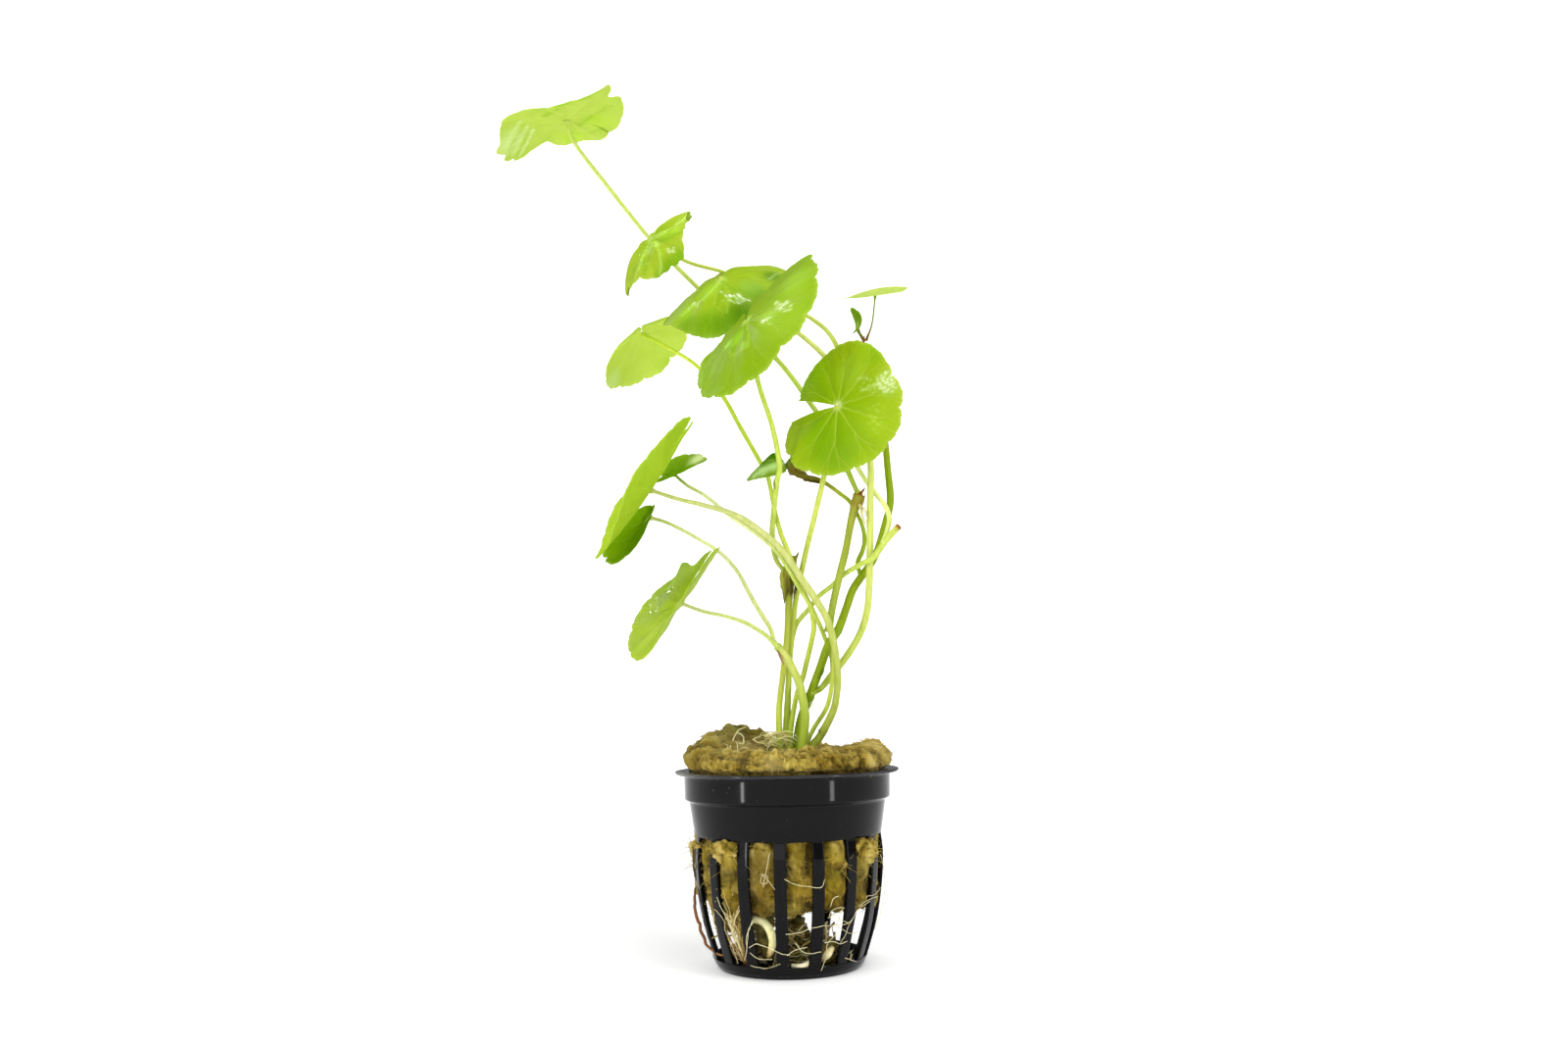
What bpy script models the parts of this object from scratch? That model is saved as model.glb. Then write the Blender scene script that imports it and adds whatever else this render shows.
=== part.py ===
"""Brazilian pennywort growing out of a net pot: the pot, its plug of mineral wool, the
stems, the leaf stalks, the leaves and the thick roots, each as a solid of its own.

The origin is the middle of the pot's flat underside. +Z is up and the front is -Y.
The plant is drawn the way it is seen from the front, because it has no regular shape:
each of its places is (across, down, depth), a spot on a picture that an eye in front of
the pot looks at, and the distance behind the pot's axis in millimetres.
"""
import bpy
import bmesh
from math import ceil, cos, pi, radians, sin
from mathutils import Vector, noise

MM = 0.001

# The eye and its picture
PICTURE_AXIS = 798.2
PICTURE_HEIGHT = 1067
PICTURE_DISTANCE = 1324.5
EYE_DISTANCE = 319.4
EYE_HEIGHT = 64.0
EYE_PITCH = radians(7.46)
EYE_ROLL = radians(1.08)

# Net pot, in millimetres
RIM_RADIUS = 27.0
POT_HEIGHT = 45.8
FLANGE_THICKNESS = 0.8
COLLAR_RADIUS = 24.9
COLLAR_BOTTOM = 39.2
SLOT_TOP = 30.7
SLOT_BOTTOM = 2.9
BASE_RADIUS = 16.9
FLOOR_THICKNESS = 1.3
WALL = 1.2
BAR_COUNT = 16
BAR_WIDTH = 2.9
FIRST_BAR = radians(17.5)
FLOOR_SLOT_COUNT = 8
FLOOR_SLOT = (8.0, 14.0, 2.8)
POT_STEPS = 40

# Wool plug, in millimetres
PLUG_BOTTOM = 14.5
PLUG_TOP = 50.2
PLUG_LIP_RADIUS = 25.2
PLUG_CLEARANCE = 0.6
PLUG_STEPS = 32
PLUG_BUMPS = (
    (-12, 12, 9, 5.2),
    (-21, -3, 5, 1.3),
    (20, 1, 5, 2.0),
    (4, 2, 5, -0.7),
)
PLUG_ROUGHNESS = 0.9

# Plant tissue, in millimetres
GAP = 0.35
BURIED_LENGTH = 6.0
BLADE_THICKNESS = 0.5
TUBE_STEP = 9.0

# Stems: (across, down, depth, radius) from the lowest point up
STEMS = {
    "stem_left": [
        (795.5, 750, 0.5, 0.70), (795, 723, 0.5, 0.65), (799, 687, 0.5, 0.65), (803, 650, 0.5, 0.65),
        (804.6, 620, 0.5, 0.75), (806, 603, 0.4, 1.40), (808, 586, 0.3, 1.25), (811, 567, 0.2, 0.75)],
    "stem_main": [
        (813, 765, 1.3, 0.95), (815, 745, 1.3, 0.95), (819, 728, 1.0, 0.95), (825, 714, 0.0, 0.95),
        (830, 700, -0.8, 0.9), (838, 678, -2.2, 0.9), (845, 658, -3.4, 0.9), (855, 643, -3.0, 0.9),
        (863, 622, -1.5, 0.85), (870, 602, -0.4, 0.85), (879, 588, 0.3, 0.85), (893, 567, 0.5, 0.8),
        (904, 532, 1.0, 0.8), (908.5, 510, 1.6, 0.8), (906, 480, 2.0, 0.75), (902, 440, 2.4, 0.7),
        (895, 400, 3.0, 0.65), (884, 352, 4.0, 0.6)],
    "stem_cut": [
        (846, 641, -3.2, 0.7), (850, 616, -3.2, 0.8), (857.6, 583, -3.0, 0.8), (863, 561, -3.0, 0.8),
        (868, 534, -3.0, 0.8), (872, 518, -3.0, 0.9), (876.5, 505, -3.0, 1.1)],
    "stem_low": [
        (804, 752, 3.9, 0.55), (805, 700, 4.0, 0.55), (807, 661, 3.9, 0.55), (812.6, 637, 3.4, 0.55),
        (824.7, 622, 2.8, 0.55), (835.6, 608, 2.0, 0.55), (849, 597.5, 0.8, 0.55), (861, 586, -0.8, 0.55),
        (881, 574, -4.8, 0.6), (891, 569, -5.4, 0.65), (904, 551, -5.6, 0.7), (916, 538, -5.6, 0.7)],
    "stem_side": [
        (874.5, 579, 0.4, 0.45), (875.5, 572, 0.4, 0.5), (880, 562, 0.2, 0.5), (882, 550, 0.2, 0.45),
        (879, 534, 0.0, 0.45), (868, 513, -0.8, 0.45), (857.6, 504, -1.0, 0.45), (844, 494, -1.0, 0.45),
        (833, 488.5, -1.2, 0.5), (822, 487, -2.2, 0.6), (814, 483, -3.0, 0.85), (808.5, 479, -3.4, 0.85)],
    "stem_front": [
        (818, 765, -3.0, 1.0), (821, 741, -3.0, 0.95), (821, 725, -3.0, 0.95), (816, 699, -3.0, 0.9),
        (810, 685, -3.0, 0.85), (802.5, 670.5, -3.0, 0.85), (792.5, 658.5, -3.0, 0.8)],
}

# Leaf stalks, drawn like the stems; the last place is where the blade is held
STALKS = {
    "petiole_01": [
        (872.5, 497, 0.2, 0.55), (866, 482, 1.0, 0.6), (855, 455, 3.0, 0.6), (833, 420, 7.0, 0.6),
        (793, 367, 16.0, 0.6), (740, 320, 27.0, 0.55), (690, 272, 31.0, 0.55), (660, 240, 29.5, 0.5),
        (620, 190, 23.0, 0.5), (587, 147, 16.0, 0.45), (578, 123, 14.0, 0.4)],
    "petiole_02": [
        (801.5, 751, 2.1, 0.6), (805.5, 680, 2.1, 0.6), (809, 642, 2.1, 0.6), (812, 613, 2.1, 0.6),
        (818.5, 581, 1.4, 0.6), (824, 556, 0.6, 0.6), (830, 532, -1.4, 0.6), (840, 490, -3.4, 0.6),
        (849, 450, -1.0, 0.6), (859, 410, 1.6, 0.6), (860, 375, 5.5, 0.55), (848, 343, 11.0, 0.55),
        (825, 323, 18.0, 0.5), (785, 300, 25.5, 0.5), (742, 279, 27.5, 0.45), (700, 266.5, 19.0, 0.45),
        (665, 244, 8.0, 0.4)],
    "petiole_03": [
        (836.5, 703, -0.2, 0.55), (842, 697, 0.7, 0.7), (849, 688, 1.4, 0.75), (859, 676, 1.3, 0.75),
        (870, 660, 0.6, 0.75), (879, 643, 0.0, 0.75), (885, 622, -1.2, 0.75), (887, 595, -2.6, 0.75),
        (887.5, 567, -3.3, 0.75), (888, 512, -4.0, 0.75), (888, 470, -4.0, 0.7), (880, 425, -4.0, 0.7),
        (862, 385, -3.0, 0.65), (840, 362, -1.4, 0.6), (815, 340, 0.6, 0.55), (772, 309, 5.0, 0.5),
        (735, 285, 10.0, 0.45)],
    "petiole_04": [
        (799, 581, 0.4, 0.45), (795, 576, 0.3, 0.5), (790.5, 566, 0.1, 0.55), (788, 545, -0.8, 0.6),
        (790, 518, -2.6, 0.6), (793, 490, -6.8, 0.6), (795.5, 474, -8.4, 0.6), (788, 435, -11.0, 0.55),
        (773, 387, -17.0, 0.5), (762, 328, -22.0, 0.45)],
    "petiole_05": [
        (806.5, 752, -0.1, 0.55), (809, 730, -0.1, 0.55), (813, 709, 0.2, 0.55), (819, 692, 0.3, 0.55),
        (824, 672, -0.2, 0.55), (829, 650, -1.0, 0.55), (830.5, 638, -1.6, 0.55), (827, 619, -2.7, 0.55),
        (818.5, 600, -3.4, 0.55), (804, 562, -3.2, 0.55), (796.5, 543, -1.4, 0.55), (790, 518, 1.2, 0.5),
        (783.6, 486.6, 1.8, 0.5), (775, 470, 2.4, 0.5), (755, 435, 5.4, 0.5), (738, 405, 9.5, 0.5),
        (715, 377, 16.0, 0.45), (693, 361, 22.0, 0.45), (656, 341, 29.0, 0.4)],
    "petiole_06": [
        (905.5, 538, -3.9, 0.5), (907.5, 530, -3.6, 0.55), (905, 519, -3.2, 0.55), (898, 509, -2.4, 0.55),
        (888, 496, -1.4, 0.55), (877, 480, -1.6, 0.55), (866, 458, -4.2, 0.5), (859, 435, -8.0, 0.5),
        (855, 414, -12.0, 0.45)],
    "petiole_07": [(885, 344, 4.4, 0.25), (890, 329, 4.6, 0.2), (893, 302, 4.6, 0.2)],
    "petiole_08": [(880.5, 345.5, 3.3, 0.3), (877, 340, 3.1, 0.3), (875, 336, 3.0, 0.25)],
    "petiole_09": [
        (829, 762, -0.4, 0.9), (837, 751, -1.0, 0.85), (849.5, 727, -3.0, 0.8), (853.5, 711, -4.0, 0.75),
        (855, 690, -5.2, 0.75), (851.6, 660, -6.6, 0.75), (845, 634, -7.0, 0.75), (835.7, 616.5, -7.0, 0.75),
        (818, 590, -7.2, 0.75), (797, 560, -7.2, 0.7), (774, 540, -7.2, 0.65), (750, 525, -7.2, 0.6),
        (715, 514.5, -7.2, 0.5), (692, 509, -7.5, 0.45), (664, 500, -8.0, 0.4)],
    "petiole_10": [
        (789.5, 653, -1.6, 0.45), (786, 641, -1.4, 0.5), (776, 625, -0.6, 0.5), (765.5, 607, 0.6, 0.5),
        (755, 587, 2.6, 0.45), (744, 572.5, 4.8, 0.45), (731, 561, 6.6, 0.45), (706, 546, 8.2, 0.4),
        (680, 533, 9.0, 0.4), (662, 528, 9.0, 0.4)],
    "petiole_11": [
        (823, 760, 1.6, 0.55), (831, 742, 1.2, 0.5), (843, 723, 0.0, 0.5), (848, 704, -0.8, 0.5),
        (849.5, 681, -1.2, 0.5), (847.5, 666, -0.9, 0.5), (841, 649, -0.8, 0.5), (834, 632, -3.2, 0.5),
        (826, 616, -5.2, 0.5), (816, 600, -5.4, 0.5), (793, 563, -5.3, 0.5), (770, 543, -5.3, 0.45),
        (746, 527, -5.3, 0.45), (720, 506, -1.0, 0.4), (701, 495, 7.0, 0.4), (688, 484, 15.0, 0.35)],
    "petiole_12": [
        (786, 653, -3.9, 0.45), (779, 646, -4.2, 0.45), (760, 635, -4.6, 0.45), (738, 628, -5.0, 0.4),
        (717, 623.5, -5.0, 0.4), (694, 615, -5.0, 0.35)],
}
FROM_WOOL = (
    "stem_left", "stem_main", "stem_low", "stem_front",
    "petiole_02", "petiole_05", "petiole_09", "petiole_11")

# Roots that are thick enough to be solids
ROOTS = {
    "root_thick": [
        (769, 938, -14.5, 0.7), (778, 941, -14.8, 0.8), (785, 948, -15.0, 0.85), (788.4, 958, -14.8, 0.85),
        (787, 973, -14.2, 0.7)],
    "root_bundle": [
        (737, 929, -8.6, 1.2), (744, 947, -9.2, 1.3), (752, 966, -9.4, 1.0), (759, 981, -9.0, 0.5)],
    "root_side": [
        (709.5, 915, -3.0, 0.35), (710, 931, -3.0, 0.45), (716, 949, -3.0, 0.45), (722.5, 966, -3.0, 0.35)],
    "root_mat": [
        (800, 948, -4.0, 1.6), (812, 955, -5.0, 2.0), (818, 966, -6.0, 2.0), (826, 975, -6.0, 1.2)],
}

# Leaf blades. facing is the compass direction of the upper side, from the front towards
# the right, and tilt is how far up it looks; turn is the way the leaf's tip points,
# anticlockwise from uphill. The other values are shares of the radius.
LEAVES = {
    "leaf_01": dict(at=(578, 123, 14), facing=-58, tilt=82, turn=190, radius=17.8, cup=-0.10,
                    saddle=(-0.05, 3), ripple=(0.09, 3, 34), shape=(0.12, -0.01, -0.10, -8), lobes=9),
    "leaf_02": dict(at=(665, 244, 8), facing=-53, tilt=35.5, turn=-45, radius=12.4, cup=-0.40,
                    saddle=(0.15, -5), ripple=(0.09, 3, 32), shape=(-0.04, 0.01, 0.01, 8), lobes=8),
    "leaf_03": dict(at=(735, 285, 10), facing=-33, tilt=47, turn=-165, radius=17.7, cup=-0.39,
                    saddle=(0.03, 0), ripple=(0, 3, 0), shape=(0.05, 0, 0.03, 6), lobes=9),
    "leaf_04": dict(at=(762, 328, -22), facing=-57, tilt=33, turn=-136, radius=20.9, cup=-0.19,
                    saddle=(-0.06, 12), ripple=(0.02, 3, 0), shape=(0, 0.03, 0.02, -4), lobes=11),
    "leaf_05": dict(at=(656, 341, 29), facing=-108, tilt=58, turn=107, radius=14.2, cup=-0.40,
                    saddle=(0, 0), ripple=(0, 3, 0), shape=(0.02, 0.10, 0, 0), lobes=9),
    "leaf_06": dict(at=(855, 414, -12), facing=-33, tilt=8, turn=-96, radius=16.1, cup=-0.09,
                    saddle=(0.16, 75), ripple=(0, 3, 0), shape=(0.02, -0.06, -0.06, -12), lobes=10),
    "leaf_07": dict(at=(893, 301, 4.6), facing=-29, tilt=76, turn=-131, radius=8.4, cup=0.07,
                    saddle=(0.05, -4), ripple=(0, 3, 0), shape=(0.03, 0.02, -0.02, -7), lobes=7),
    "leaf_08": dict(at=(875, 335, 3.0), facing=-72, tilt=24, turn=18, radius=2.8, cup=0.18,
                    saddle=(0.23, -26), ripple=(0.06, 3, -14), shape=(0.6, 0.05, 0.11, 2), lobes=5),
    "leaf_09": dict(at=(664, 500, -8), facing=-78, tilt=33.4, turn=169, radius=19.4, cup=0.17,
                    saddle=(-0.12, 15), ripple=(0, 3, 0), shape=(-0.02, -0.01, 0.03, 10), lobes=10),
    "leaf_10": dict(at=(662, 528, 9), facing=-70, tilt=28, turn=185, radius=11.6, cup=0.2,
                    saddle=(-0.15, 38), ripple=(0, 3, 0), shape=(0.34, -0.06, 0.02, -8), lobes=9),
    "leaf_11": dict(at=(688, 484, 15), facing=-46, tilt=57, turn=-75, radius=8.4, cup=0.18,
                    saddle=(-0.10, 17), ripple=(0.05, 2, 108), shape=(0.14, 0.03, 0.02, 10), lobes=8),
    "leaf_12": dict(at=(694, 615, -5), facing=-69, tilt=37, turn=181, radius=17.4, cup=0.12,
                    saddle=(-0.08, 9), ripple=(0.03, 2, 168), shape=(0.03, 0, 0, -4), lobes=9),
    "leaf_13": dict(at=(797, 472, -4.6), facing=40, tilt=24, turn=99, radius=2.9, cup=-0.25,
                    saddle=(-0.2, -1), ripple=(-0.12, 2, 9), shape=(0.6, 0.02, 0.1, 4), lobes=6),
}
SINUS = radians(11)
NOTCH_DEPTH = 0.07
NOTCH_SHARPNESS = 0.7
LEAF_RINGS = 2
SECTORS_PER_LOBE = 3

COLOURS = {
    "black_plastic": ((0.012, 0.012, 0.014), 0.35),
    "wool": ((0.32, 0.22, 0.06), 1.0),
    "leaf": ((0.24, 0.47, 0.02), 0.4),
    "stalk": ((0.50, 0.66, 0.12), 0.45),
    "root": ((0.74, 0.66, 0.40), 0.8),
}


def clear_scene():
    for item in list(bpy.data.objects):
        bpy.data.objects.remove(item, do_unlink=True)


def collection(name):
    made = bpy.data.collections.new(name)
    bpy.context.scene.collection.children.link(made)
    return made


def material(name):
    colour, roughness = COLOURS[name]
    made = bpy.data.materials.new(name)
    made.use_nodes = True
    shader = made.node_tree.nodes["Principled BSDF"]
    shader.inputs["Base Color"].default_value = (*colour, 1.0)
    shader.inputs["Roughness"].default_value = roughness
    shader.inputs["Metallic"].default_value = 0.0
    return made


def seen_at(across, down, depth):
    """The place in space of a spot on the eye's picture, depth millimetres behind the axis."""
    x = across - PICTURE_AXIS
    y = PICTURE_HEIGHT / 2 - down
    right = x * cos(EYE_ROLL) + y * sin(EYE_ROLL)
    rise = y * cos(EYE_ROLL) - x * sin(EYE_ROLL)
    forward = PICTURE_DISTANCE * cos(EYE_PITCH) - rise * sin(EYE_PITCH)
    upward = rise * cos(EYE_PITCH) + PICTURE_DISTANCE * sin(EYE_PITCH)
    reach = (EYE_DISTANCE + depth) / forward
    return Vector((right * reach, depth, EYE_HEIGHT + upward * reach)) * MM


def smooth_route(places, step):
    """Points on one smooth curve through the places, at most step apart, each with a radius."""
    knots = [(seen_at(*place[:3]), place[3] * MM) for place in places]
    ends = [knots[0]] + knots + [knots[-1]]
    route = []
    for before, start, end, after in zip(ends, ends[1:], ends[2:], ends[3:]):
        count = max(1, round((end[0] - start[0]).length / (step * MM)))
        for i in range(count):
            t = i / count
            point = 0.5 * (2 * start[0] + (end[0] - before[0]) * t
                           + (2 * before[0] - 5 * start[0] + 4 * end[0] - after[0]) * t ** 2
                           + (3 * start[0] - before[0] - 3 * end[0] + after[0]) * t ** 3)
            route.append((point, start[1] + (end[1] - start[1]) * t))
    route.append(knots[-1])
    return route


def buried(route, extra=0.0):
    """The route, led on straight down into the wool from its lowest point."""
    foot, radius = route[0]
    return [(foot - Vector((0, 0, BURIED_LENGTH + extra)) * MM, radius)] + route


def tube(name, route, sides, skin=0.0):
    """A rod along the route as a mesh object, with 6 or 8 sides, thicker by skin all round."""
    curve = bpy.data.curves.new(name, "CURVE")
    curve.dimensions = "3D"
    curve.bevel_depth = 1.0
    curve.bevel_resolution = sides // 2 - 2
    curve.use_fill_caps = True
    curve.render_resolution_u = 0
    spline = curve.splines.new("POLY")
    spline.points.add(len(route) - 1)
    for spot, (point, radius) in zip(spline.points, route):
        spot.co = (*point, 1.0)
        spot.radius = radius + skin * MM
    rod = bpy.data.objects.new(name + "_curve", curve)
    bpy.context.scene.collection.objects.link(rod)
    bpy.context.view_layer.update()
    evaluated = rod.evaluated_get(bpy.context.evaluated_depsgraph_get())
    mesh = bpy.data.meshes.new_from_object(evaluated)
    bpy.data.objects.remove(rod, do_unlink=True)
    shape = bmesh.new()
    shape.from_mesh(mesh)
    bmesh.ops.remove_doubles(shape, verts=shape.verts, dist=0.01 * MM)
    bmesh.ops.recalc_face_normals(shape, faces=shape.faces)
    shape.to_mesh(mesh)
    shape.free()
    mesh.name = name
    return bpy.data.objects.new(name, mesh)


def place_solid(solid, group, finish):
    group.objects.link(solid)
    solid.data.materials.clear()
    solid.data.materials.append(finish)
    for face in solid.data.polygons:
        face.use_smooth = True
    solid.data.set_sharp_from_angle(angle=radians(40))


def turned(name, profile, steps, group):
    """A shape turned from its profile of (radius, height) in millimetres."""
    mesh = bpy.data.meshes.new(name)
    points = [(radius * MM, 0.0, height * MM) for radius, height in profile]
    mesh.from_pydata(points, [(i, i + 1) for i in range(len(points) - 1)], [])
    solid = bpy.data.objects.new(name, mesh)
    group.objects.link(solid)
    turn = solid.modifiers.new("turn", "SCREW")
    turn.steps = steps
    turn.render_steps = steps
    turn.use_merge_vertices = True
    turn.merge_threshold = 0.01 * MM
    return solid


def freeze(solid):
    """Replace the object's mesh by what its modifiers make of it."""
    bpy.context.view_layer.update()
    evaluated = solid.evaluated_get(bpy.context.evaluated_depsgraph_get())
    mesh = bpy.data.meshes.new_from_object(evaluated)
    solid.modifiers.clear()
    solid.data = mesh
    return solid


def flat_cutter(name, outlines, bottom, top, group):
    """One cutter with a prism on each outline, between two heights in millimetres."""
    curve = bpy.data.curves.new(name, "CURVE")
    curve.dimensions = "2D"
    curve.fill_mode = "BOTH"
    curve.extrude = (top - bottom) / 2 * MM
    for outline in outlines:
        spline = curve.splines.new("POLY")
        spline.points.add(len(outline) - 1)
        for spot, (x, y) in zip(spline.points, outline):
            spot.co = (x * MM, y * MM, 0.0, 1.0)
        spline.use_cyclic_u = True
    flat = bpy.data.objects.new(name + "_curve", curve)
    bpy.context.scene.collection.objects.link(flat)
    bpy.context.view_layer.update()
    evaluated = flat.evaluated_get(bpy.context.evaluated_depsgraph_get())
    mesh = bpy.data.meshes.new_from_object(evaluated)
    bpy.data.objects.remove(flat, do_unlink=True)
    shape = bmesh.new()
    shape.from_mesh(mesh)
    bmesh.ops.remove_doubles(shape, verts=shape.verts, dist=0.01 * MM)
    bmesh.ops.recalc_face_normals(shape, faces=shape.faces)
    shape.to_mesh(mesh)
    shape.free()
    cutter = bpy.data.objects.new(name, mesh)
    cutter.location.z = (top + bottom) / 2 * MM
    add_cutter(cutter, group)
    return cutter


def add_cutter(cutter, group):
    group.objects.link(cutter)
    cutter.hide_render = True
    cutter.display_type = "WIRE"


def cut(solid, cutter):
    step = solid.modifiers.new(cutter.name, "BOOLEAN")
    step.operation = "DIFFERENCE"
    step.solver = "EXACT"
    step.object = cutter


def around(angle, points):
    """Points drawn along +X, turned about the axis; angle runs from the front to the right."""
    spin = angle - pi / 2
    return [(x * cos(spin) - y * sin(spin), x * sin(spin) + y * cos(spin)) for x, y in points]


def pot_profile():
    """Down the inside from the floor's middle is up the wall, over the flange, down outside."""
    outside = [
        (RIM_RADIUS, POT_HEIGHT), (RIM_RADIUS, POT_HEIGHT - FLANGE_THICKNESS),
        (COLLAR_RADIUS, POT_HEIGHT - FLANGE_THICKNESS - 0.3), (COLLAR_RADIUS - 0.4, COLLAR_BOTTOM),
        (COLLAR_RADIUS - 1.3, COLLAR_BOTTOM - 0.4), (22.3, SLOT_TOP),
        (22.7, 26.0), (22.3, 19.5), (21.0, 11.5), (18.9, SLOT_BOTTOM + 1.6), (17.7, 1.2), (BASE_RADIUS, 0.0)]
    inside = [
        (15.9, FLOOR_THICKNESS), (18.9 - WALL, SLOT_BOTTOM + 1.6), (21.0 - WALL, 11.5),
        (22.3 - WALL, 19.5), (22.7 - WALL, 26.0), (22.3 - WALL, SLOT_TOP),
        (COLLAR_RADIUS - 1.3 - WALL, COLLAR_BOTTOM - 0.4), (COLLAR_RADIUS - 0.9 - WALL, COLLAR_BOTTOM + 0.6),
        (COLLAR_RADIUS - WALL, POT_HEIGHT)]
    return [(0.0, FLOOR_THICKNESS)] + inside + outside + [(0.0, 0.0)]


def net_pot(group, cutters, finish):
    pot = turned("net_pot", pot_profile(), POT_STEPS, group)
    half_pitch = pi / BAR_COUNT
    apex = BAR_WIDTH / 2 / sin(half_pitch)
    near, far = 13.0, RIM_RADIUS + 4
    wedge = [(near, -(near - apex) * sin(half_pitch)), (far, -(far - apex) * sin(half_pitch)),
             (far, (far - apex) * sin(half_pitch)), (near, (near - apex) * sin(half_pitch))]
    slots = [around(FIRST_BAR + half_pitch * (2 * i + 1), wedge) for i in range(BAR_COUNT)]
    cut(pot, flat_cutter("side_slots", slots, SLOT_BOTTOM, SLOT_TOP, cutters))
    start, end, width = FLOOR_SLOT
    box = [(start, -width / 2), (end, -width / 2), (end, width / 2), (start, width / 2)]
    slots = [around(2 * pi * i / FLOOR_SLOT_COUNT, box) for i in range(FLOOR_SLOT_COUNT)]
    cut(pot, flat_cutter("floor_slots", slots, -1.0, FLOOR_THICKNESS + 1, cutters))
    freeze(pot)
    group.objects.unlink(pot)
    place_solid(pot, group, finish)


def plug_rise(x, y):
    """How far the wool's top stands above its plain level at (x, y), in millimetres."""
    rise = 0.0
    for bump_x, bump_y, width, height in PLUG_BUMPS:
        spread = ((x - bump_x) ** 2 + (y - bump_y) ** 2) / (2 * width ** 2)
        rise += height * 2.718 ** -spread
    return rise


def wool_plug(group, cutters, finish, wells):
    fit = WALL + PLUG_CLEARANCE
    profile = [
        (0.0, PLUG_TOP), (8.0, PLUG_TOP), (15.0, PLUG_TOP), (21.0, PLUG_TOP + 0.6),
        (PLUG_LIP_RADIUS - 0.9, PLUG_TOP - 0.6), (PLUG_LIP_RADIUS, PLUG_TOP - 2.2),
        (PLUG_LIP_RADIUS - 0.7, POT_HEIGHT + 1.0), (COLLAR_RADIUS - fit - 0.4, POT_HEIGHT + 0.9),
        (COLLAR_RADIUS - 1.3 - fit, COLLAR_BOTTOM - 0.4), (22.3 - fit, SLOT_TOP), (22.5 - fit, 25.0),
        (22.1 - fit, 19.0), (19.5, PLUG_BOTTOM + 0.8), (14.0, PLUG_BOTTOM), (0.0, PLUG_BOTTOM)]
    plug = freeze(turned("rockwool_plug", profile, PLUG_STEPS, group))
    for vertex in plug.data.vertices:
        x, y, z = (value / MM for value in vertex.co)
        grain = noise.noise(Vector((x, y, z)) * 0.22)
        if z > POT_HEIGHT + 1.5:
            vertex.co.z += (plug_rise(x, y) + PLUG_ROUGHNESS * grain) * MM
        elif z < POT_HEIGHT:
            inward = 1 - (0.035 + 0.03 * grain)
            vertex.co.x *= inward
            vertex.co.y *= inward
            if z < PLUG_BOTTOM + 2:
                vertex.co.z += 1.6 * grain * MM
    for name, route in wells.items():
        well = tube("well_" + name, buried(route, extra=GAP + 0.2), 8, skin=GAP)
        add_cutter(well, cutters)
        cut(plug, well)
    freeze(plug)
    group.objects.unlink(plug)
    place_solid(plug, group, finish)


def blade_axes(leaf):
    """The leaf's upward normal, the way its tip points, and the way to the tip's left."""
    facing, tilt, turn = (radians(leaf[key]) for key in ("facing", "tilt", "turn"))
    normal = Vector((cos(tilt) * sin(facing), -cos(tilt) * cos(facing), sin(tilt)))
    uphill = (Vector((0, 0, 1)) - normal * normal.z).normalized()
    tip = uphill * cos(turn) + normal.cross(uphill) * sin(turn)
    return normal, tip, normal.cross(tip)


def blade_point(leaf, axes, share, round_share):
    """A place on the blade: share of the way out, round_share of the way round its margin."""
    normal, tip, left = axes
    sweep = pi - SINUS
    angle = sweep * (2 * round_share - 1)
    along, aside, oval, oval_turn = leaf["shape"]
    scallop = 1 - NOTCH_DEPTH * (1 - abs(sin(round_share * leaf["lobes"] * pi)) ** NOTCH_SHARPNESS)
    out = share * scallop * (1 + along * cos(angle) + aside * sin(angle)
                             + oval * cos(2 * (angle - radians(oval_turn))))
    fold, fold_turn = leaf["saddle"]
    ripple, waves, phase = leaf["ripple"]
    lift = out ** 2 * (leaf["cup"] + fold * cos(2 * (angle - radians(fold_turn))))
    lift += out ** 3 * ripple * cos(waves * angle + radians(phase))
    radius = leaf["radius"] * MM
    return radius * (out * cos(angle) * tip + out * sin(angle) * left + lift * normal)


def leaf_blade(name, leaf, group, finish):
    """A round blade with a scalloped margin, open along one narrow wedge, as a thin shell."""
    axes = blade_axes(leaf)
    centre = seen_at(*leaf["at"])
    sectors = SECTORS_PER_LOBE * leaf["lobes"]
    shape = bmesh.new()
    bmesh.ops.create_grid(shape, x_segments=sectors, y_segments=LEAF_RINGS, size=1.0)
    for vertex in shape.verts:
        round_share = (vertex.co.x + 1) / 2
        share = (vertex.co.y + 1) / 2
        vertex.co = centre + blade_point(leaf, axes, share, round_share)
    bmesh.ops.remove_doubles(shape, verts=shape.verts, dist=0.005 * MM)
    mesh = bpy.data.meshes.new(name)
    shape.to_mesh(mesh)
    shape.free()
    blade = bpy.data.objects.new(name, mesh)
    place_solid(blade, group, finish)
    shell = blade.modifiers.new("thickness", "SOLIDIFY")
    shell.thickness = BLADE_THICKNESS * MM
    shell.offset = 0.0


def stalk_route(name, places):
    """A stalk's route, ended just under the blade that it carries."""
    leaf = LEAVES[name.replace("petiole", "leaf")]
    route = smooth_route(places, TUBE_STEP)
    normal = blade_axes(leaf)[0]
    end, radius = route[-1]
    under = (BLADE_THICKNESS / 2 + GAP) * MM + radius
    route[-1] = (end - normal * under, radius)
    return route


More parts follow.
